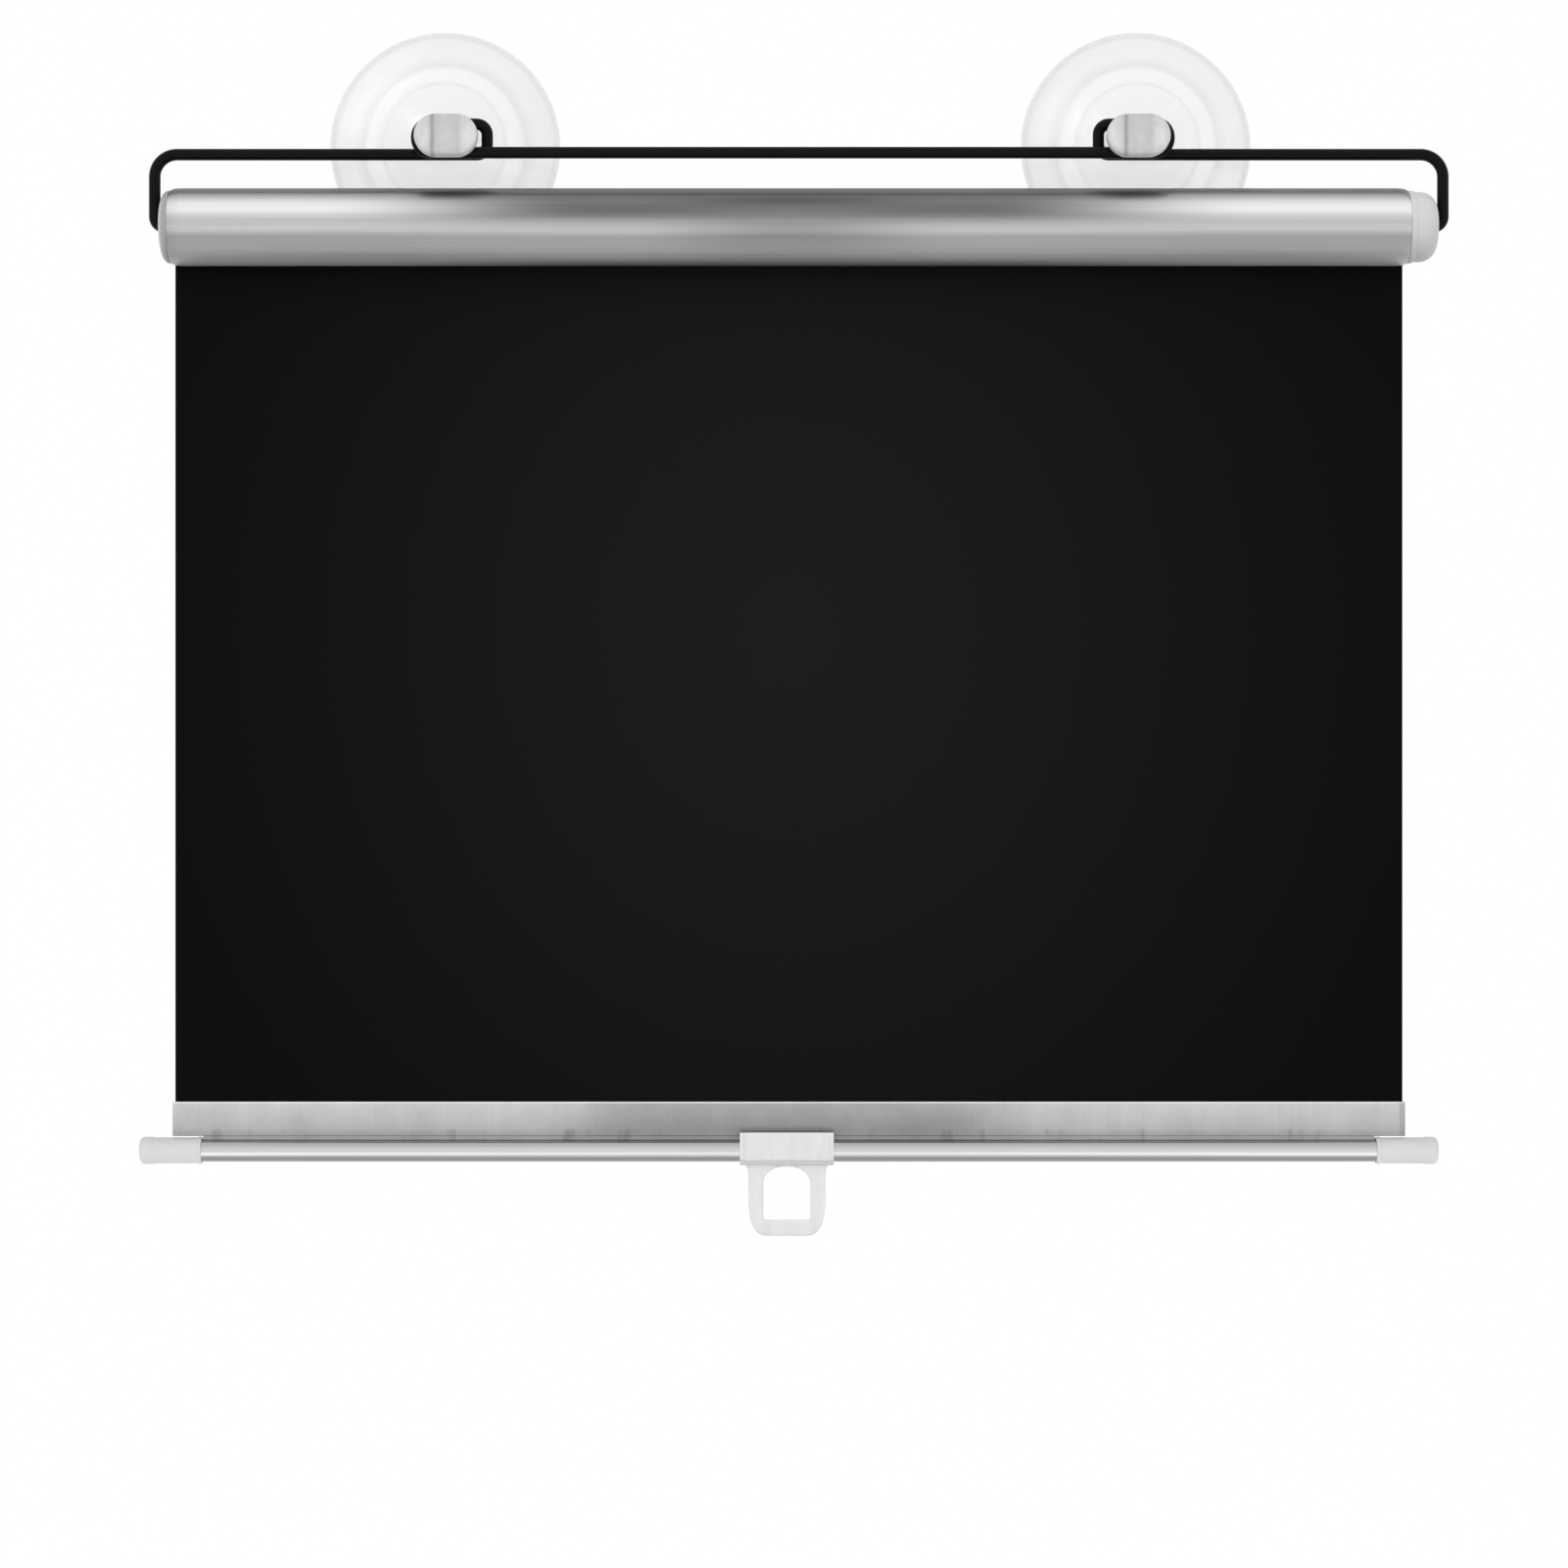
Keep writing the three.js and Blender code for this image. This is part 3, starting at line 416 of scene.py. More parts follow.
def button_plastic(name, centre):
    """The button on a cup's neck: hazier, with painted shade greyest over the neck and darkest along the
    neck's left edge.
    """
    finish = Finish(name, Roughness=0.22, IOR=1.42, Transmission_Weight=0.3, Specular_IOR_Level=0.5)
    x, _, _ = finish.axes(finish.place())
    across = (x - (centre - HEAD_SIZE[0] / 2) * MM) / (HEAD_SIZE[0] * MM)
    # Painted shade: greyest over the neck, with a dark line at the neck's left edge
    tone = finish.tones(across, [
        (0.0, 240), (0.08, 246), (0.2, 238), (0.255, 224), (0.285, 184), (0.31, 190), (0.34, 222),
        (0.5, 231), (0.7, 222), (0.76, 238), (0.9, 247), (1.0, 242)])
    mottle = finish.noise(finish.place(), (1, 1, 1), 420.0, 3.0) * 0.24 + 0.88
    finish.set("Base_Color", finish.add("ShaderNodeHueSaturation", {}, {"Color": tone, "Value": mottle}))
    return finish.material


def hem_silver():
    """Silver strip with an upright grain and painted light: a highlight along its top edge, shade towards its
    bottom, a darker middle and a shaded fold.
    """
    finish = Finish("hem_silver", Metallic=0.9, Roughness=0.42)
    place = finish.place()
    x, _, z = finish.axes(place)
    height = (z - HEM_BOTTOM * MM) / ((HEM_TOP - HEM_BOTTOM) * MM)
    # Painted highlight along the top edge and painted shade towards the bottom; darker in the middle of the
    # length
    ends_painted_light = finish.tones(height, [
        (0.0, 166), (0.02, 170), (0.1, 170), (0.2, 184), (0.45, 194), (0.9, 206), (0.94, 208),
        (0.97, 236), (1.0, 240)])
    middle = finish.tones(height, [
        (0.0, 150), (0.02, 150), (0.1, 148), (0.2, 150), (0.45, 158), (0.9, 172), (0.94, 176),
        (0.97, 228), (1.0, 232)])
    base = finish.mix(abs(x).step(40 * MM, 80 * MM), middle, ends_painted_light)
    grain = finish.noise(place, (900, 40, 14), 1.6, 4.0, 0.6)
    blotch = finish.noise(place, (60, 20, 50), 1.8, 4.0)
    marks = finish.noise(place, (140, 20, 30), 2.0, 3.0).step(0.56, 0.72) * (1.0 - height.step(0.1, 0.3))
    # Painted shade on the fold at the right end
    fold_painted_shade = (x - HEM_FOLD * MM).step(0.0, 0.3 * MM)
    value = grain * 0.2 + blotch * 0.3 + 0.75 - fold_painted_shade * 0.2 - marks * 0.22
    toned = finish.add("ShaderNodeHueSaturation", {}, {"Color": base, "Value": value})
    finish.set("Base_Color", toned)
    finish.set("Roughness", grain * 0.2 + 0.32)
    finish.relief(grain, 0.15, 0.04)
    return finish.material


def bright_tube():
    finish = Finish("bright_tube", Metallic=1.0, Roughness=0.16)
    place = finish.place()
    _, _, z = finish.axes(place)
    # Painted reflections: a dark line along the top, a bright highlight band low on the round, grey towards
    # the bottom
    tone = finish.tones(upright(z, ROD_Z, ROD_R), [
        (0.0, 175), (0.09, 190), (0.175, 170), (0.265, 208), (0.32, 252), (0.38, 254), (0.44, 228),
        (0.525, 206), (0.615, 204), (0.7, 190), (0.79, 178), (0.875, 178), (0.965, 196), (1.0, 210)])
    streaks = finish.noise(place, (4, 500, 500), 3.0, 3.0)
    toned = finish.add("ShaderNodeHueSaturation", {}, {"Color": tone, "Value": streaks * 0.16 + 0.92})
    finish.set("Base_Color", toned)
    finish.set("Roughness", streaks * 0.12 + 0.1)
    return finish.material


def tab_plastic():
    """Moulded plastic with some haze and soft upright flow marks."""
    finish = Finish("tab_plastic", Roughness=0.3, IOR=1.45, Transmission_Weight=0.12, Specular_IOR_Level=0.4)
    place = finish.place()
    flow = finish.noise(place, (260, 60, 40), 1.2, 2.0)
    finish.set("Base_Color", finish.tones(flow, [(0.3, 242), (0.5, 248), (0.7, 254)]))
    finish.relief(flow, 0.06, 0.1)
    return finish.material


def plain_metal(name, tone, roughness):
    finish = Finish(name, Metallic=1.0)
    place = finish.place()
    wear = finish.noise(place, (20, 300, 300), 3.0, 3.0)
    finish.set("Base_Color", finish.tones(wear, [(0.2, tone - 18), (0.8, tone + 14)]))
    finish.set("Roughness", wear * 0.2 + roughness)
    return finish.material


def plain_plastic(name, tone):
    finish = Finish(name, Roughness=0.5)
    cloud = finish.noise(finish.place(), (1, 1, 1), 300.0, 2.0)
    finish.set("Base_Color", finish.tones(cloud, [(0.2, tone - 8), (0.8, tone + 6)]))
    return finish.material


# ---------------------------------------------------------------- shapes

def arc(cy, cz, radius, start, end, steps):
    return [(cy + radius * math.cos(start + (end - start) * i / steps),
             cz + radius * math.sin(start + (end - start) * i / steps)) for i in range(steps + 1)]


def rounded(corners, steps=6):
    """An outline from (x, y, radius) corners, each turned by an arc of its own radius."""
    outline = []
    count = len(corners)
    for i, (x, y, radius) in enumerate(corners):
        corner = Vector((x, y))
        before = Vector(corners[i - 1][:2]) - corner
        after = Vector(corners[(i + 1) % count][:2]) - corner
        if radius <= 0:
            outline.append((x, y))
            continue
        half = before.angle(after) / 2
        reach = radius / math.tan(half)
        middle = corner + (before.normalized() + after.normalized()).normalized() * radius / math.sin(half)
        start = corner + before.normalized() * reach - middle
        end = corner + after.normalized() * reach - middle
        turn = start.angle_signed(end)
        for k in range(steps + 1):
            point = Matrix.Rotation(-turn * k / steps, 2) @ start + middle
            outline.append((point.x, point.y))
    return outline


def finished(name, mesh, material, node, body, smooth_below=35):
    """Scales a mesh drawn in millimetres, closes it up, and puts it on its body."""
    mesh.transform(Matrix.Scale(MM, 4))
    build = bmesh.new()
    build.from_mesh(mesh)
    bmesh.ops.remove_doubles(build, verts=build.verts, dist=1e-6)
    bmesh.ops.recalc_face_normals(build, faces=build.faces)
    build.to_mesh(mesh)
    build.free()
    mesh.materials.clear()
    mesh.materials.append(material)
    mesh.shade_smooth()
    mesh.set_sharp_from_angle(angle=math.radians(smooth_below))
    piece = bpy.data.objects.new(name, mesh)
    bpy.context.collection.objects.link(piece)
    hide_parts(node)
    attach(piece, body)
    return piece


def mesh_from(name, points, faces):
    mesh = bpy.data.meshes.new(name)
    mesh.from_pydata(points, [], faces)
    return mesh


def joined(name, parts):
    points, faces = [], []
    for part_points, part_faces in parts:
        start = len(points)
        points += part_points
        faces += [[i + start for i in face] for face in part_faces]
    return mesh_from(name, points, faces)


def drawn_along_x(outline, stations, centre=(0, 0)):
    """A bar whose section is an outline in Y and Z; a station is (x, scale about the centre)."""
    cy, cz = centre
    return loft([[(x, cy + (y - cy) * scale, cz + (z - cz) * scale) for y, z in outline]
                 for x, scale in stations])


def turned(profile, segments, axis, centre=(0, 0, 0)):
    """A round piece from (place along the axis, radius) pairs; a radius of 0 closes it."""
    points, rows = [], []
    for along, radius in profile:
        if radius == 0:
            rows.append([len(points)] * segments)
            points.append((along, 0.0, 0.0))
            continue
        rows.append([len(points) + k for k in range(segments)])
        for k in range(segments):
            angle = 2 * math.pi * k / segments
            points.append((along, radius * math.cos(angle), radius * math.sin(angle)))
    faces = []
    closed = profile[0] == profile[-1]
    if closed:
        rows[-1] = rows[0]
    for lower, upper in zip(rows, rows[1:]):
        for k in range(segments):
            j = (k + 1) % segments
            face = list(dict.fromkeys([lower[k], lower[j], upper[j], upper[k]]))
            if len(face) > 2:
                faces.append(face)
    if axis == "Y":
        points = [(y, x, z) for x, y, z in points]
    cx, cy, cz = centre
    return [(x + cx, y + cy, z + cz) for x, y, z in points], faces


def loft(rings):
    """A closed body through rings of points, with a flat face at each end."""
    count = len(rings[0])
    points = [point for ring in rings for point in ring]
    faces = [list(range(count)), list(range((len(rings) - 1) * count, len(rings) * count))]
    for s in range(len(rings) - 1):
        for i in range(count):
            j = (i + 1) % count
            faces.append([s * count + i, s * count + j, (s + 1) * count + j, (s + 1) * count + i])
    return points, faces


def stadium(width, height, steps=20):
    reach = (width - height) / 2
    right = arc(reach, 0, height / 2, -math.pi / 2, math.pi / 2, steps)
    left = arc(-reach, 0, height / 2, math.pi / 2, 1.5 * math.pi, steps)
    return right + left


def smooth_through(points, steps):
    """Points on a smooth curve through the given ones."""
    result = []
    for i in range(len(points) - 1):
        a = points[max(i - 1, 0)]
        b, c = points[i], points[i + 1]
        d = points[min(i + 2, len(points) - 1)]
        for k in range(steps):
            t = k / steps
            result.append(tuple(
                0.5 * (2 * q + (r - p) * t + (2 * p - 5 * q + 4 * r - s) * t * t
                       + (3 * q - p - 3 * r + s) * t * t * t)
                for p, q, r, s in zip(a, b, c, d)))
    return result + [points[-1]]


def bent_route(start, corners, end, steps=14):
    """Straight runs between corners; each corner is (place, radius) and becomes an arc."""
    places = [Vector(start)] + [Vector(c) for c, _ in corners] + [Vector(end)]
    route = [places[0]]
    for i, (_, radius) in enumerate(corners):
        before, corner, after = places[i:i + 3]
        into = (corner - before).normalized()
        out = (after - corner).normalized()
        turn = into.angle(out)
        first = corner - into * radius * math.tan(turn / 2)
        inward = (out - into * out.dot(into)).normalized()
        centre = first + inward * radius
        for k in range(steps + 1):
            angle = turn * k / steps
            route.append(centre - inward * radius * math.cos(angle) + into * radius * math.sin(angle))
    return route + [places[-1]]


# ---------------------------------------------------------------- node trees that draw wire

def new_tree(name, inputs):
    """A geometry tree with named inputs; returns it with its input and output nodes."""
    tree = bpy.data.node_groups.new(name, "GeometryNodeTree")
    tree.interface.new_socket("Geometry", in_out="INPUT", socket_type="NodeSocketGeometry")
    tree.interface.new_socket("Geometry", in_out="OUTPUT", socket_type="NodeSocketGeometry")
    for label, kind in inputs.items():
        tree.interface.new_socket(label, in_out="INPUT", socket_type=kind)
    return tree, tree.nodes.new("NodeGroupInput"), tree.nodes.new("NodeGroupOutput")


def round_wire_tree():
    """Sweeps a round section along the points of an edge path."""
    tree, given, result = new_tree("round_wire", {
        "Radius": "NodeSocketFloat", "Sides": "NodeSocketInt", "Material": "NodeSocketMaterial"})
    link = tree.links.new
    path = tree.nodes.new("GeometryNodeMeshToCurve")
    section = tree.nodes.new("GeometryNodeCurvePrimitiveCircle")
    sweep = tree.nodes.new("GeometryNodeCurveToMesh")
    sweep.inputs["Fill Caps"].default_value = True
    real = tree.nodes.new("GeometryNodeRealizeInstances")
    paint = tree.nodes.new("GeometryNodeSetMaterial")
    link(given.outputs["Geometry"], path.inputs["Mesh"])
    link(given.outputs["Sides"], section.inputs["Resolution"])
    link(given.outputs["Radius"], section.inputs["Radius"])
    link(path.outputs["Curve"], sweep.inputs["Curve"])
    link(section.outputs["Curve"], sweep.inputs["Profile Curve"])
    link(sweep.outputs["Mesh"], real.inputs["Geometry"])
    link(real.outputs["Geometry"], paint.inputs["Geometry"])
    link(given.outputs["Material"], paint.inputs["Material"])
    link(paint.outputs["Geometry"], result.inputs["Geometry"])
    return tree


def coil_tree():
    """Winds a coil along X and sweeps a round section along it."""
    tree, given, result = new_tree("coil", {
        "Turns": "NodeSocketFloat", "Coil Radius": "NodeSocketFloat", "Length": "NodeSocketFloat",
        "Wire Radius": "NodeSocketFloat", "Start": "NodeSocketVector", "Material": "NodeSocketMaterial"})
    link = tree.links.new
    spiral = tree.nodes.new("GeometryNodeCurveSpiral")
    spiral.inputs["Resolution"].default_value = 28
    place = tree.nodes.new("GeometryNodeTransform")
    place.inputs["Rotation"].default_value = (0, math.pi / 2, 0)
    section = tree.nodes.new("GeometryNodeCurvePrimitiveCircle")
    section.inputs["Resolution"].default_value = 10
    sweep = tree.nodes.new("GeometryNodeCurveToMesh")
    sweep.inputs["Fill Caps"].default_value = True
    real = tree.nodes.new("GeometryNodeRealizeInstances")
    paint = tree.nodes.new("GeometryNodeSetMaterial")
    link(given.outputs["Turns"], spiral.inputs["Rotations"])
    link(given.outputs["Coil Radius"], spiral.inputs["Start Radius"])
    link(given.outputs["Coil Radius"], spiral.inputs["End Radius"])
    link(given.outputs["Length"], spiral.inputs["Height"])
    link(spiral.outputs["Curve"], place.inputs["Geometry"])
    link(given.outputs["Start"], place.inputs["Translation"])
    link(given.outputs["Wire Radius"], section.inputs["Radius"])
    link(place.outputs["Geometry"], sweep.inputs["Curve"])
    link(section.outputs["Curve"], sweep.inputs["Profile Curve"])
    link(sweep.outputs["Mesh"], real.inputs["Geometry"])
    link(real.outputs["Geometry"], paint.inputs["Geometry"])
    link(given.outputs["Material"], paint.inputs["Material"])
    link(paint.outputs["Geometry"], result.inputs["Geometry"])
    return tree


def drawn_by(tree, mesh, values):
    """The plain mesh that a geometry tree makes of a mesh with these named values."""
    carrier = bpy.data.objects.new(tree.name, mesh)
    bpy.context.collection.objects.link(carrier)
    modifier = carrier.modifiers.new(tree.name, "NODES")
    modifier.node_group = tree
    for item in tree.interface.items_tree:
        if item.in_out == "INPUT" and item.name in values:
            modifier[item.identifier] = values[item.name]
    graph = bpy.context.evaluated_depsgraph_get()
    result = bpy.data.meshes.new_from_object(carrier.evaluated_get(graph))
    carrier.modifiers.remove(modifier)
    bpy.data.objects.remove(carrier)
    return result


# ---------------------------------------------------------------- hanger

def hanger_route():
    left, right = EYE_CENTRES
    corners = [
        ((LEFT_ARM, AXIS_Y, AXIS_Z), HOOK_BEND),
        ((LEFT_ARM, AXIS_Y, WIRE_TOP), WIRE_CORNER),
        ((left + EYE_HALF, AXIS_Y, WIRE_TOP), EYE_INNER_ROUND),
        ((left + EYE_HALF, AXIS_Y, EYE_TOP), EYE_INNER_ROUND),
        ((left - EYE_HALF, LAYER_Y, EYE_TOP), EYE_OUTER_ROUND),
        ((left - EYE_HALF, LAYER_Y, WIRE_TOP), EYE_OUTER_ROUND),
        ((right + EYE_HALF, LAYER_Y, WIRE_TOP), EYE_OUTER_ROUND),
        ((right + EYE_HALF, LAYER_Y, EYE_TOP), EYE_OUTER_ROUND),
        ((right - EYE_HALF, AXIS_Y, EYE_TOP), EYE_INNER_ROUND),
        ((right - EYE_HALF, AXIS_Y, WIRE_TOP), EYE_INNER_ROUND),
        ((RIGHT_ARM, AXIS_Y, WIRE_TOP), WIRE_CORNER),
        ((RIGHT_ARM, AXIS_Y, AXIS_Z), HOOK_BEND),
    ]
    return bent_route((HOOK_TIPS[0], AXIS_Y, AXIS_Z), corners, (HOOK_TIPS[1], AXIS_Y, AXIS_Z))


def make_wire():
    route = hanger_route()
    path = bpy.data.meshes.new("wire_path")
    path.from_pydata(route, [(i, i + 1) for i in range(len(route) - 1)], [])
    material = coated_wire()
    mesh = drawn_by(round_wire_tree(), path, {"Radius": WIRE_R, "Sides": 28, "Material": material})
    finished("wire_hanger_coated", mesh, material, "wire_hanger", "hanger", 60)


def make_cup(node, centre):
    """A clear cup: thin flat rim, two soft steps on the way to the crown, and a hollow behind."""
    outer = smooth_through([
        (CUP_CROWN, 0.0), (CUP_CROWN, 4.0), (CUP_CROWN - 0.5, 7.4), (11.9, 11.4), (9.1, 15.2), (6.9, 17.4),
        (6.5, 18.6), (5.1, 21.0), (3.5, 23.4), (3.05, 24.6), (2.2, 27.6), (1.35, 31.0), (1.0, 33.2)], 4)
    rim = arc(0.5, 33.5, 0.5, 0, math.pi, 8)
    hollow = smooth_through([
        (0.0, 31.7), (0.6, 27.5), (1.6, 22.4), (3.2, 18.6), (4.8, 16.0), (7.4, 11.4), (9.4, 6.6), (10.3, 3.0),
        (10.4, 0.0)], 4)
    profile = [(-a, r) for a, r in outer + rim + hollow]
    profile[0] = (profile[0][0], 0)
    profile[-1] = (profile[-1][0], 0)
    mesh = joined(node + "_dome", [turned(profile, 128, "Y", (centre, 0, 0))])
    finished(node + "_dome", mesh, clear_pvc(node + "_pvc", centre), node, "hanger")


def make_button(node, centre):
    """The neck through the wire's eye and the oblong head in front of it."""
    def ring(y, size, inset=0):
        return [(centre + x, y, z) for x, z in stadium(size[0] - 2 * inset, size[1] - 2 * inset)]

    back_steps, front_steps = 6, 8
    back_round, front_round = 0.5, 1.6
    rings = [ring(-CUP_CROWN + 0.3, NECK_SIZE), ring(HEAD_BACK, NECK_SIZE)]
    for k in range(back_steps + 1):
        angle = math.pi / 2 * k / back_steps
        rings.append(ring(HEAD_BACK - back_round * (1 - math.cos(angle)), HEAD_SIZE,
                          back_round * (1 - math.sin(angle))))
    for k in range(1, front_steps + 1):
        angle = math.pi / 2 * k / front_steps
        rings.append(ring(HEAD_FRONT + front_round * (1 - math.sin(angle)), HEAD_SIZE,
                          front_round * (1 - math.cos(angle))))
    mesh = joined(node + "_button", [loft(rings)])
    material = button_plastic(node + "_button_pvc", centre)
    finished(node + "_button", mesh, material, node, "hanger")


# ---------------------------------------------------------------- casing

def make_casing():
    lip = CASING_R - CASING_WALL / 2
    start, end = SLOT_TOP, SLOT_BOTTOM + 2 * math.pi
    end_lip = arc(lip * math.cos(end), lip * math.sin(end), CASING_WALL / 2, end, end + math.pi, 8)
    start_lip = arc(lip * math.cos(start), lip * math.sin(start), CASING_WALL / 2, start + math.pi,
                    start + 2 * math.pi, 8)
    section = (arc(0, 0, CASING_R, start, end, 128) + end_lip[1:-1]
               + arc(0, 0, CASING_R - CASING_WALL, end, start, 128) + start_lip[1:-1])
    outline = [(AXIS_Y + y, AXIS_Z + z) for y, z in section]
    ends = [(0.0, 0.93), (0.25, 0.95), (0.8, 0.972), (1.6, 0.988), (2.6, 0.997), (3.4, 1.0)]
    stations = [(-CASING_END + inset, scale) for inset, scale in ends]
    stations += [(CASING_END - inset, scale) for inset, scale in reversed(ends)]
    mesh = joined("casing_tube_brushed", [drawn_along_x(outline, stations, (AXIS_Y, AXIS_Z))])
    finished("casing_tube_brushed", mesh, casing_aluminium(), "casing_tube", "casing")


def make_left_cap(material):
    profile = [
        (LEFT_BOSS_END - HOOK_FLOOR, 0), (LEFT_BOSS_END - HOOK_FLOOR, HOOK_HOLE_R),
        (LEFT_FACE + 0.3, HOOK_HOLE_R), (LEFT_FACE, HOOK_HOLE_R + 0.3),
        *[(-CAP_FACE - (-CAP_FACE - LEFT_FACE) * math.sin(a),
           LEFT_FACE_R + (CAP_R - LEFT_FACE_R) * math.cos(a))
          for a in [math.pi / 2 * (1 - k / 16) for k in range(17)]],
        (-CASING_END - SEAM, CAP_R - 0.1), (-CASING_END - SEAM, PLUG_R), (-CAP_FACE + PLUG_LENGTH, PLUG_R),
        (-CAP_FACE + PLUG_LENGTH, CAVITY_R),
        (-CAP_FACE, CAVITY_R), (-CAP_FACE, JOURNAL_R), (LEFT_BOSS_END, JOURNAL_R), (LEFT_BOSS_END, 0),
    ]
    mesh = joined("end_cap_left_moulded", [turned(profile, 96, "X", (0, AXIS_Y, AXIS_Z))])
    finished("end_cap_left_moulded", mesh, material, "end_cap_left", "casing")


def make_right_cap(material):
    steps = 14
    dome = [(DOME_END - DOME_ROUND + DOME_ROUND * math.sin(a), DOME_R - DOME_ROUND + DOME_ROUND * math.cos(a))
            for a in [math.pi / 2 * k / steps for k in range(steps + 1)]]
    collar = [(CAP_FACE + COLLAR_ROUND * math.sin(a), DOME_R + (CAP_R - DOME_R) * math.cos(a))
              for a in [math.pi / 2 * k / 8 for k in range(9)]]
    inner_round = DOME_ROUND - CAP_WALL
    inside = [(DOME_END - DOME_ROUND + inner_round * math.sin(a),
               DOME_R - DOME_ROUND + inner_round * math.cos(a))
              for a in [math.pi / 2 * (1 - k / 8) for k in range(9)]]
    profile = [
        (BOSS_START, 0), (BOSS_START, BOSS_R), (DOME_END - CAP_WALL, BOSS_R), *inside,
        (CAP_FACE - PLUG_LENGTH, CAVITY_R), (CAP_FACE - PLUG_LENGTH, PLUG_R), (CASING_END + SEAM, PLUG_R),
        (CASING_END + SEAM, CAP_R - 0.1), *collar, *dome,
        (DOME_END, HOOK_HOLE_R + 0.3), (DOME_END - 0.3, HOOK_HOLE_R),
        (BOSS_START + HOOK_FLOOR, HOOK_HOLE_R), (BOSS_START + HOOK_FLOOR, 0),
    ]
    mesh = joined("end_cap_right_moulded", [turned(profile, 96, "X", (0, AXIS_Y, AXIS_Z))])
    finished("end_cap_right_moulded", mesh, material, "end_cap_right", "casing")


def make_spring():
    low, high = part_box("torsion_spring")
    material = plain_metal("spring_wire", 130, 0.25)
    values = {"Turns": SPRING_TURNS, "Coil Radius": SPRING_R, "Wire Radius": SPRING_WIRE_R,
              "Length": (high.x - low.x) / MM - 2 * SPRING_WIRE_R,
              "Start": (low.x / MM + SPRING_WIRE_R, AXIS_Y, AXIS_Z), "Material": material}
    mesh = drawn_by(coil_tree(), bpy.data.meshes.new("spring_start"), values)
    finished("torsion_spring_wound", mesh, material, "torsion_spring", "casing", 60)


# ---------------------------------------------------------------- film

def film_path():
    """The film's middle line from its lower edge up to the roller and on round it, as (Y, Z) points."""
    path = [(FILM_Y, FILM_BOTTOM + (AXIS_Z - FILM_BOTTOM) * i / HANGING_ROWS) for i in range(HANGING_ROWS)]
    for i in range(TURN_ROWS + 1):
        turns = TURNS * i / TURN_ROWS
        radius = FILM_R - TURN_PITCH * turns
        angle = 2 * math.pi * turns
        path.append((AXIS_Y + radius * math.cos(angle), AXIS_Z + radius * math.sin(angle)))
    return path


def film_part(name, rows):
    """A strip of film through (Y, Z, normal Y, normal Z, length so far) rows, with its length along V."""
    columns = 40
    points, flats = [], []
    for side in (0.5, -0.5):
        for y, z, ny, nz, along in rows:
            for c in range(columns + 1):
                x = -FILM_HALF + 2 * FILM_HALF * c / columns
                points.append((x, y + ny * FILM_T * side, z + nz * FILM_T * side))
                flats.append((c / columns, along / (AXIS_Z - FILM_BOTTOM)))
    row = columns + 1
    sheet = len(rows) * row
    faces = []
    for r in range(len(rows) - 1):
        for c in range(columns):
            a = r * row + c
            faces.append([a, a + 1, a + row + 1, a + row])
            faces.append([sheet + a, sheet + a + row, sheet + a + row + 1, sheet + a + 1])
    last = (len(rows) - 1) * row
    for c in range(columns):
        faces.append([c, sheet + c, sheet + c + 1, c + 1])
        faces.append([last + c, last + c + 1, sheet + last + c + 1, sheet + last + c])
    for r in range(len(rows) - 1):
        a = r * row
        faces.append([a, a + row, sheet + a + row, sheet + a])
        b = a + columns
        faces.append([b, sheet + b, sheet + b + row, b + row])
    mesh = mesh_from(name, points, faces)
    layer = mesh.uv_layers.new(name="flat")
    for loop in mesh.loops:
        layer.data[loop.index].uv = flats[loop.vertex_index]
    return mesh


def make_film():
    """The hanging sheet and the turns that stay on the roller."""
    path = film_path()
    rows, along = [], 0.0
    for i, (y, z) in enumerate(path):
        (y0, z0), (y1, z1) = path[max(i - 1, 0)], path[min(i + 1, len(path) - 1)]
        length = math.hypot(y1 - y0, z1 - z0)
        if i > 0:
            along += math.hypot(y - y0, z - z0)
        rows.append((y, z, (z1 - z0) / length, -(y1 - y0) / length, along))
    material = shade_film()
    hanging = finished("shade_film_sheet", film_part("shade_film_sheet", rows[:HANGING_ROWS + 1]), material,
                       "shade_fabric", "casing", 50)
    wound = finished("shade_film_turns", film_part("shade_film_turns", rows[HANGING_ROWS:]), material,
                     "shade_fabric", "casing", 50)
    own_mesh(hanging)


# ---------------------------------------------------------------- bottom bar

def make_hem():
    channel = rounded([
        (FILM_Y - HEM_SIDE, HEM_TOP, 0.22), (FILM_Y - HEM_SIDE, HEM_BOTTOM, 0.3),
        (FILM_Y + HEM_SIDE, HEM_BOTTOM, 0.3), (FILM_Y + HEM_SIDE, HEM_TOP, 0.22),
        (FILM_Y + HEM_POCKET, HEM_TOP, 0.1), (FILM_Y + HEM_POCKET, HEM_FLOOR, 0.1),
        (FILM_Y - HEM_POCKET, HEM_FLOOR, 0.1), (FILM_Y - HEM_POCKET, HEM_TOP, 0.1)])
    lean = math.asin(WEB_HALF / BEAD_R)
    bead = arc(FILM_Y, ROD_Z, BEAD_R, math.pi / 2 + lean, 2.5 * math.pi - lean, 28)
    foot = [(FILM_Y + WEB_HALF, HEM_BOTTOM + 0.5), (FILM_Y - WEB_HALF, HEM_BOTTOM + 0.5)] + bead
    mesh = joined("hem_strip_silver", [
        drawn_along_x(channel, [(-HEM_HALF, 1.0), (HEM_HALF, 1.0)]),
        drawn_along_x(foot, [(-FOOT_END, 1.0), (FOOT_END, 1.0)])])
    finished("hem_strip_silver", mesh, hem_silver(), "hem_strip", "bottom_bar")


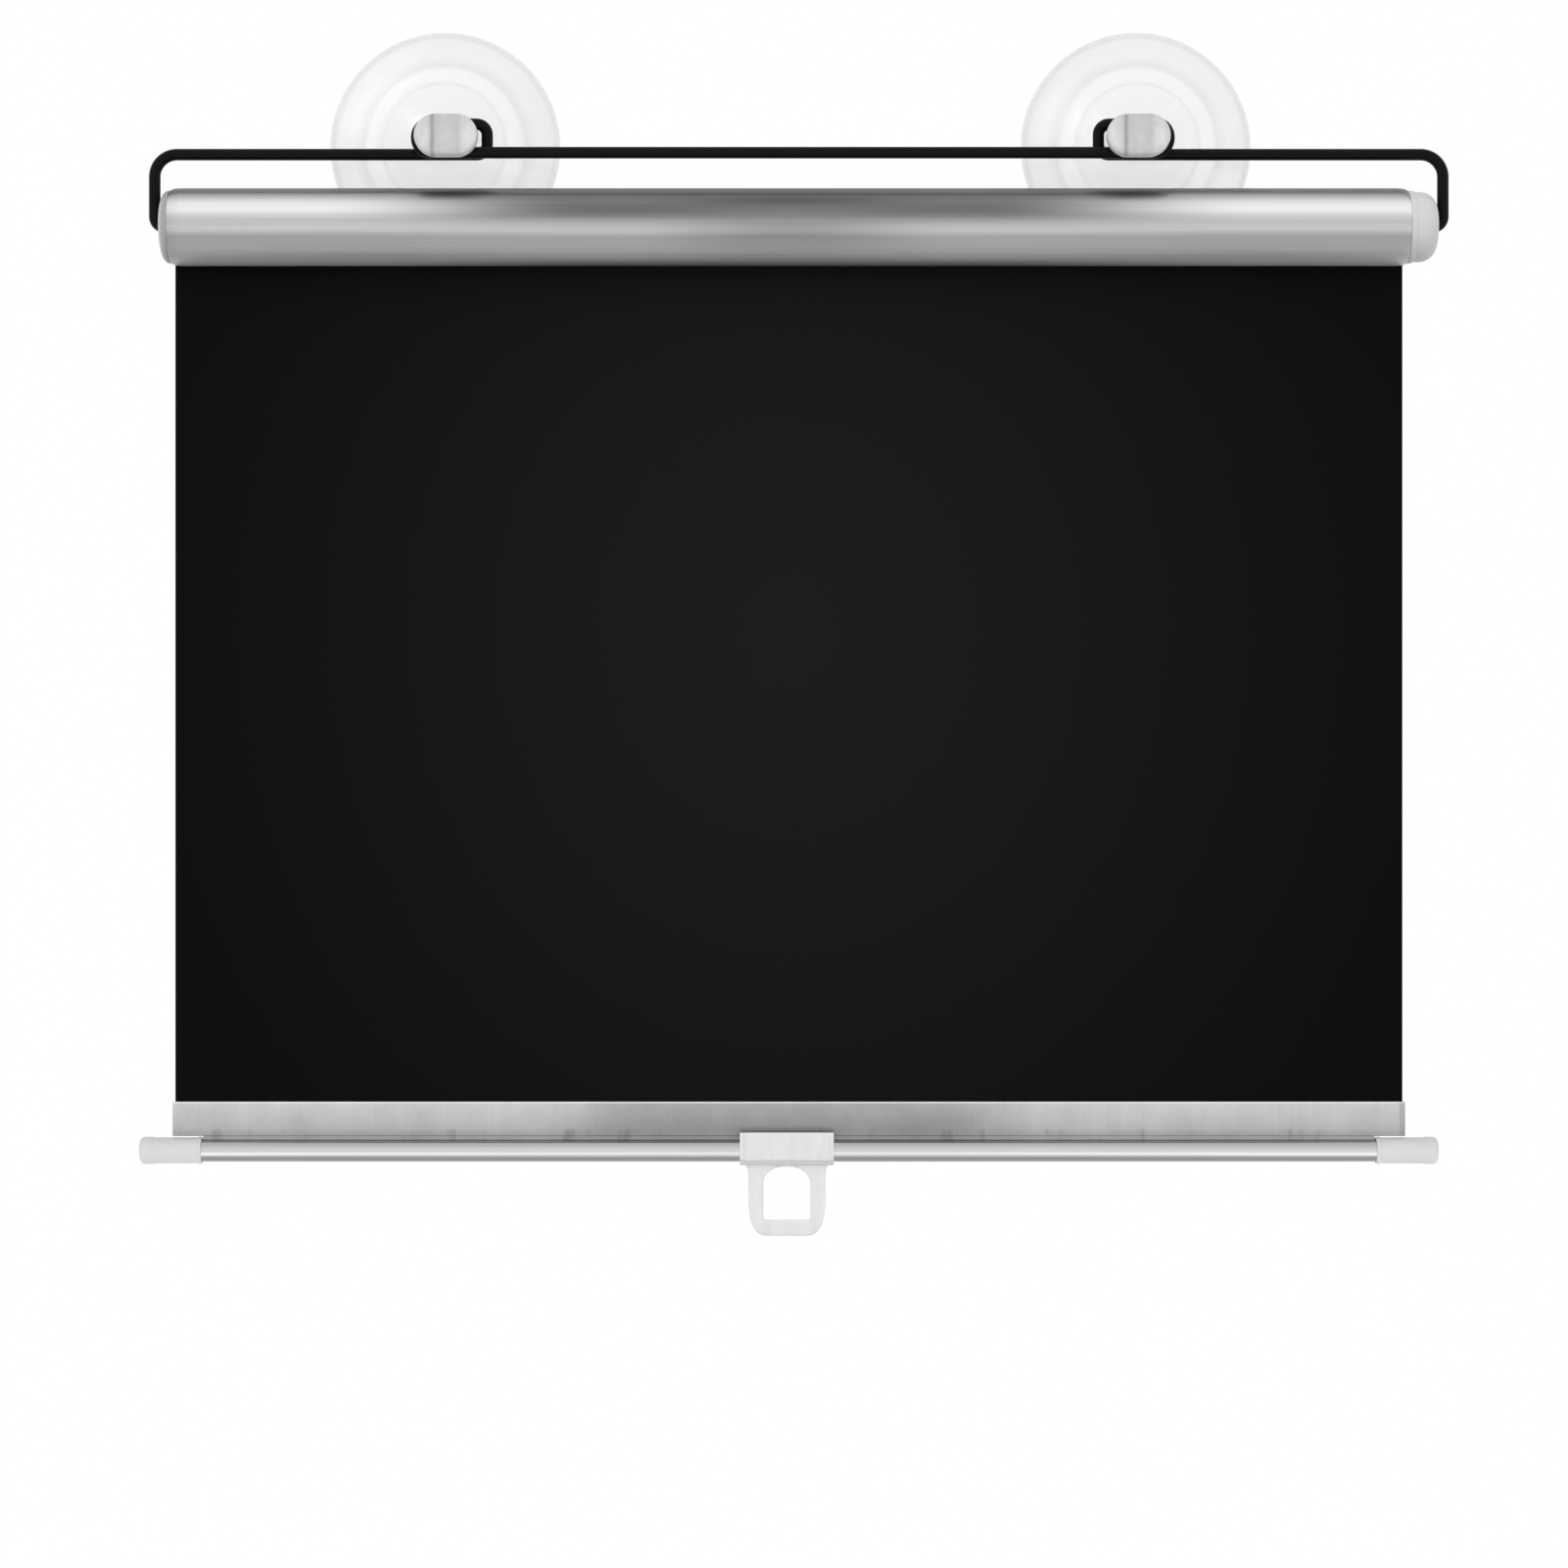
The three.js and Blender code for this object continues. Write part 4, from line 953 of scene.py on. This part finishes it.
def make_rod():
    outer_half = math.asin(ROD_SLOT / ROD_R)
    bore_half = math.asin(ROD_SLOT / ROD_BORE)
    section = (arc(FILM_Y, ROD_Z, ROD_R, math.pi / 2 + outer_half, 2.5 * math.pi - outer_half, 80)
               + arc(FILM_Y, ROD_Z, ROD_BORE, 2.5 * math.pi - bore_half, math.pi / 2 + bore_half, 80))
    mesh = joined("bottom_rod_bright", [drawn_along_x(section, [(-ROD_END, 1.0), (ROD_END, 1.0)])])
    finished("bottom_rod_bright", mesh, bright_tube(), "bottom_rod", "bottom_bar")


def make_rod_cap(node, side, material):
    """A moulded cap: a raised lip at its mouth, a slim sleeve, and a rounded end."""
    rounding = [(ROD_CAP_OUTER - ROD_CAP_ROUND + ROD_CAP_ROUND * math.sin(a),
                 ROD_CAP_R - ROD_CAP_ROUND + ROD_CAP_ROUND * math.cos(a)) for a in
                [math.pi / 2 * k / 10 for k in range(11)]]
    profile = [
        (ROD_CAP_OUTER - 1.6, 0), (ROD_CAP_OUTER - 1.6, ROD_CAP_BORE), (ROD_CAP_INNER, ROD_CAP_BORE),
        (ROD_CAP_INNER, ROD_CAP_R - 0.2), (ROD_CAP_INNER + 0.2, ROD_CAP_R),
        (ROD_CAP_INNER + ROD_CAP_LIP, ROD_CAP_R),
        (ROD_CAP_INNER + ROD_CAP_LIP + 0.25, ROD_CAP_R - 0.22), (ROD_CAP_OUTER - 4.2, ROD_CAP_R - 0.15),
        (ROD_CAP_OUTER - 3.9, ROD_CAP_R), *rounding, (ROD_CAP_OUTER, 0),
    ]
    profile = [(side * x, r) for x, r in profile]
    mesh = joined(node + "_moulded", [turned(profile, 64, "X", (0, FILM_Y, ROD_Z))])
    finished(node + "_moulded", mesh, material, node, "bottom_bar")


def bevelled_plate(name, outlines, thickness, edge):
    """A flat plate in X and Z with soft edges, from closed outlines; the inner ones are holes."""
    drawing = bpy.data.curves.new(name, "CURVE")
    drawing.dimensions = "2D"
    drawing.fill_mode = "BOTH"
    drawing.extrude = thickness / 2 - edge
    drawing.bevel_depth = edge
    drawing.bevel_resolution = 3
    drawing.offset = -edge
    for outline in outlines:
        spline = drawing.splines.new("POLY")
        spline.points.add(len(outline) - 1)
        for point, (x, z) in zip(spline.points, outline):
            point.co = (x, z, 0, 1)
        spline.use_cyclic_u = True
    carrier = bpy.data.objects.new(name, drawing)
    bpy.context.collection.objects.link(carrier)
    graph = bpy.context.evaluated_depsgraph_get()
    mesh = bpy.data.meshes.new_from_object(carrier.evaluated_get(graph))
    bpy.data.objects.remove(carrier)
    mesh.transform(Matrix.Rotation(math.pi / 2, 4, "X"))
    return [tuple(v.co) for v in mesh.vertices], [list(p.vertices) for p in mesh.polygons]


def moved(part, x, y, z):
    points, faces = part
    return [(px + x, py + y, pz + z) for px, py, pz in points], faces


def bezier(start, first, second, end, steps=12):
    points = []
    for k in range(steps + 1):
        t = k / steps
        weights = ((1 - t) ** 3, 3 * t * (1 - t) ** 2, 3 * t * t * (1 - t), t ** 3)
        controls = (start, first, second, end)
        points.append(tuple(sum(w * p[i] for w, p in zip(weights, controls)) for i in (0, 1)))
    return points


def make_pull_tab():
    outer = []
    outer += bezier((-12.9, RING_TOP), (-11.6, -4.4), (-11.3, -5.6), (-RING_HALF, -8.0))
    outer += bezier((-RING_HALF, -14.0), (-RING_HALF, -21.4), (-9.6, RING_BOTTOM), (-5.8, RING_BOTTOM), 16)
    outer += bezier((5.8, RING_BOTTOM), (9.6, RING_BOTTOM), (RING_HALF, -21.4), (RING_HALF, -14.0), 16)
    outer += bezier((RING_HALF, -8.0), (11.3, -5.6), (11.6, -4.4), (12.9, RING_TOP))
    hole = bezier((HOLE_HALF, HOLE_BOTTOM + 1.6), (HOLE_HALF, HOLE_BOTTOM), (HOLE_HALF, HOLE_BOTTOM),
                  (HOLE_HALF - 1.6, HOLE_BOTTOM), 8)[::-1]
    hole += bezier((HOLE_HALF, HOLE_TOP - 5.2), (HOLE_HALF, HOLE_TOP - 1.6), (HOLE_HALF / 2, HOLE_TOP),
                   (0, HOLE_TOP))
    hole += bezier((0, HOLE_TOP), (-HOLE_HALF / 2, HOLE_TOP), (-HOLE_HALF, HOLE_TOP - 1.6),
                   (-HOLE_HALF, HOLE_TOP - 5.2))[1:]
    hole += bezier((-HOLE_HALF, HOLE_BOTTOM + 1.6), (-HOLE_HALF, HOLE_BOTTOM), (-HOLE_HALF, HOLE_BOTTOM),
                   (-HOLE_HALF + 1.6, HOLE_BOTTOM), 8)
    ring = moved(bevelled_plate("ring", [outer, hole], RING_T, RING_EDGE), TAB_X, FILM_Y, ROD_Z)
    left, right = TAB_X - CLIP_HALF, TAB_X + CLIP_HALF
    jaw = (arc(0, 0, CLIP_R, math.radians(125), math.radians(395), 60)
           + arc(0, 0, CLIP_BORE, math.radians(395), math.radians(125), 60))
    jaw = [(FILM_Y + y, ROD_Z + z) for y, z in jaw]
    back = -(CLIP_BORE + 0.1)

    def plate(proud, edge):
        return [(FILM_Y + y, ROD_Z + z) for y, z in rounded([
            (-CLIP_R - proud, CLIP_FOOT, edge), (back, CLIP_FOOT, 0.2), (back, CLIP_TOP, 0.25),
            (-CLIP_R - proud, CLIP_TOP, edge)])]

    mesh = joined("pull_tab_moulded", [
        drawn_along_x(jaw, [(left, 1.0), (right, 1.0)]),
        drawn_along_x(plate(0, 0.3), [(left + 0.1, 1.0), (right - 0.1, 1.0)]),
        drawn_along_x(plate(CLIP_RIB_PROUD, 0.4), [(left, 1.0), (left + CLIP_RIB, 1.0)]),
        drawn_along_x(plate(CLIP_RIB_PROUD, 0.4), [(right - CLIP_RIB, 1.0), (right, 1.0)]),
        ring])
    finished("pull_tab_moulded", mesh, tab_plastic(), "pull_tab", "bottom_bar")


# ---------------------------------------------------------------- inner nodes keep their shapes

def paint_inner_nodes():
    steel = plain_metal("inner_steel", 168, 0.28)
    pin_steel = plain_metal("pin_steel", 140, 0.22)
    nylon = plain_plastic("inner_nylon", 208)
    finishes = {
        "spring_shaft": steel, "roller_tube": steel, "ratchet_wheel": steel, "pawl_1": steel, "pawl_2": steel,
        "pawl_pin_1": pin_steel, "pawl_pin_2": pin_steel, "spring_collar": nylon, "spring_hub": nylon,
        "roller_plug_left": nylon, "roller_plug_right": nylon,
    }
    for node, material in finishes.items():
        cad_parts[node].data.materials.clear()
        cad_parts[node].data.materials.append(material)


# ---------------------------------------------------------------- stage, light and camera

def white_where_seen(tree):
    """1 for rays that show the background, straight, in a gloss or through clear plastic."""
    path = tree.add("ShaderNodeLightPath", {}, {}, "Is Camera Ray")
    return path.larger(path.at("Is Glossy Ray")).larger(path.at("Is Transmission Ray"))


def make_floor():
    """A pale floor that keeps the shadow under the shade and melts into the white further out."""
    build = bmesh.new()
    bmesh.ops.create_circle(build, cap_ends=True, segments=96, radius=FLOOR_R * MM)
    mesh = bpy.data.meshes.new("floor")
    build.to_mesh(mesh)
    build.free()
    mesh.transform(Matrix.Translation((0, 0, FLOOR_Z * MM)))
    finish = Finish("pale_floor", Roughness=0.8, Specular_IOR_Level=0.1)
    finish.set("Base_Color", grey(238))
    x, y, _ = finish.axes(finish.place())
    away = ((x * x + y * y) ** 0.5).step(FLOOR_FADE[0] * MM, FLOOR_FADE[1] * MM)
    seen = white_where_seen(finish)
    glow = finish.add("ShaderNodeEmission", {}, {"Color": (1, 1, 1, 1), "Strength": 1.0})
    blend = finish.add("ShaderNodeMixShader", {}, {0: away * seen, 2: glow})
    finish.tree.links.new(finish.surface.outputs[0], blend.socket.node.inputs[1])
    finish.tree.links.new(blend.socket, finish.tree.nodes["Material Output"].inputs["Surface"])
    mesh.materials.append(finish.material)
    floor = bpy.data.objects.new("floor", mesh)
    bpy.context.collection.objects.link(floor)


def make_world():
    world = bpy.data.worlds.new("studio")
    bpy.context.scene.world = world
    tree = Tree(world)
    background = tree.tree.nodes["Background"]
    background.inputs["Color"].default_value = (1, 1, 1, 1)
    seen = white_where_seen(tree)
    tree.feed(background.inputs["Strength"], seen * 0.4 + 0.6)


def make_lamp(name, place, target, size, power):
    lamp = bpy.data.lights.new(name, "AREA")
    lamp.shape = "RECTANGLE"
    lamp.size, lamp.size_y = size
    lamp.energy = power
    carrier = bpy.data.objects.new(name, lamp)
    carrier.location = place
    carrier.rotation_euler = (Vector(target) - Vector(place)).to_track_quat("-Z", "Y").to_euler()
    carrier.visible_glossy = False
    bpy.context.collection.objects.link(carrier)


def make_camera():
    lens = bpy.data.cameras.new("camera")
    lens.lens = CAMERA_LENS
    lens.sensor_width = 36.0
    lens.sensor_fit = "HORIZONTAL"
    lens.clip_start = 0.01
    camera = bpy.data.objects.new("camera", lens)
    camera.location = [place * MM for place in CAMERA_PLACE]
    camera.rotation_euler = (math.pi / 2, 0, 0)
    bpy.context.collection.objects.link(camera)
    bpy.context.scene.camera = camera


make_wire()
for node, centre in CUP_CENTRES.items():
    make_cup(node, centre)
    make_button(node, HEAD_CENTRES[node])
make_casing()
make_left_cap(left_cap_plastic())
# Painted shade: the right cap greyer underneath than on top
make_right_cap(white_plastic("cap_white", 194, 226, AXIS_Z, CASING_R))
make_spring()
make_film()
make_hem()
make_rod()
# Painted light: the rod caps lightest underneath, greyer on top
rod_cap_white = white_plastic("rod_cap_white", 255, 212, ROD_Z, ROD_CAP_R)
make_rod_cap("rod_cap_left", -1, rod_cap_white)
make_rod_cap("rod_cap_right", 1, rod_cap_white)
make_pull_tab()
paint_inner_nodes()
make_floor()
make_world()
make_lamp("key", (-0.9, -1.3, 0.7), (0, 0, -0.15), (0.9, 0.9), 9.0)
make_lamp("fill", (1.1, -1.1, 0.1), (0, 0, -0.15), (0.8, 0.8), 4.0)
make_camera()
bpy.context.scene.view_settings.view_transform = "Standard"
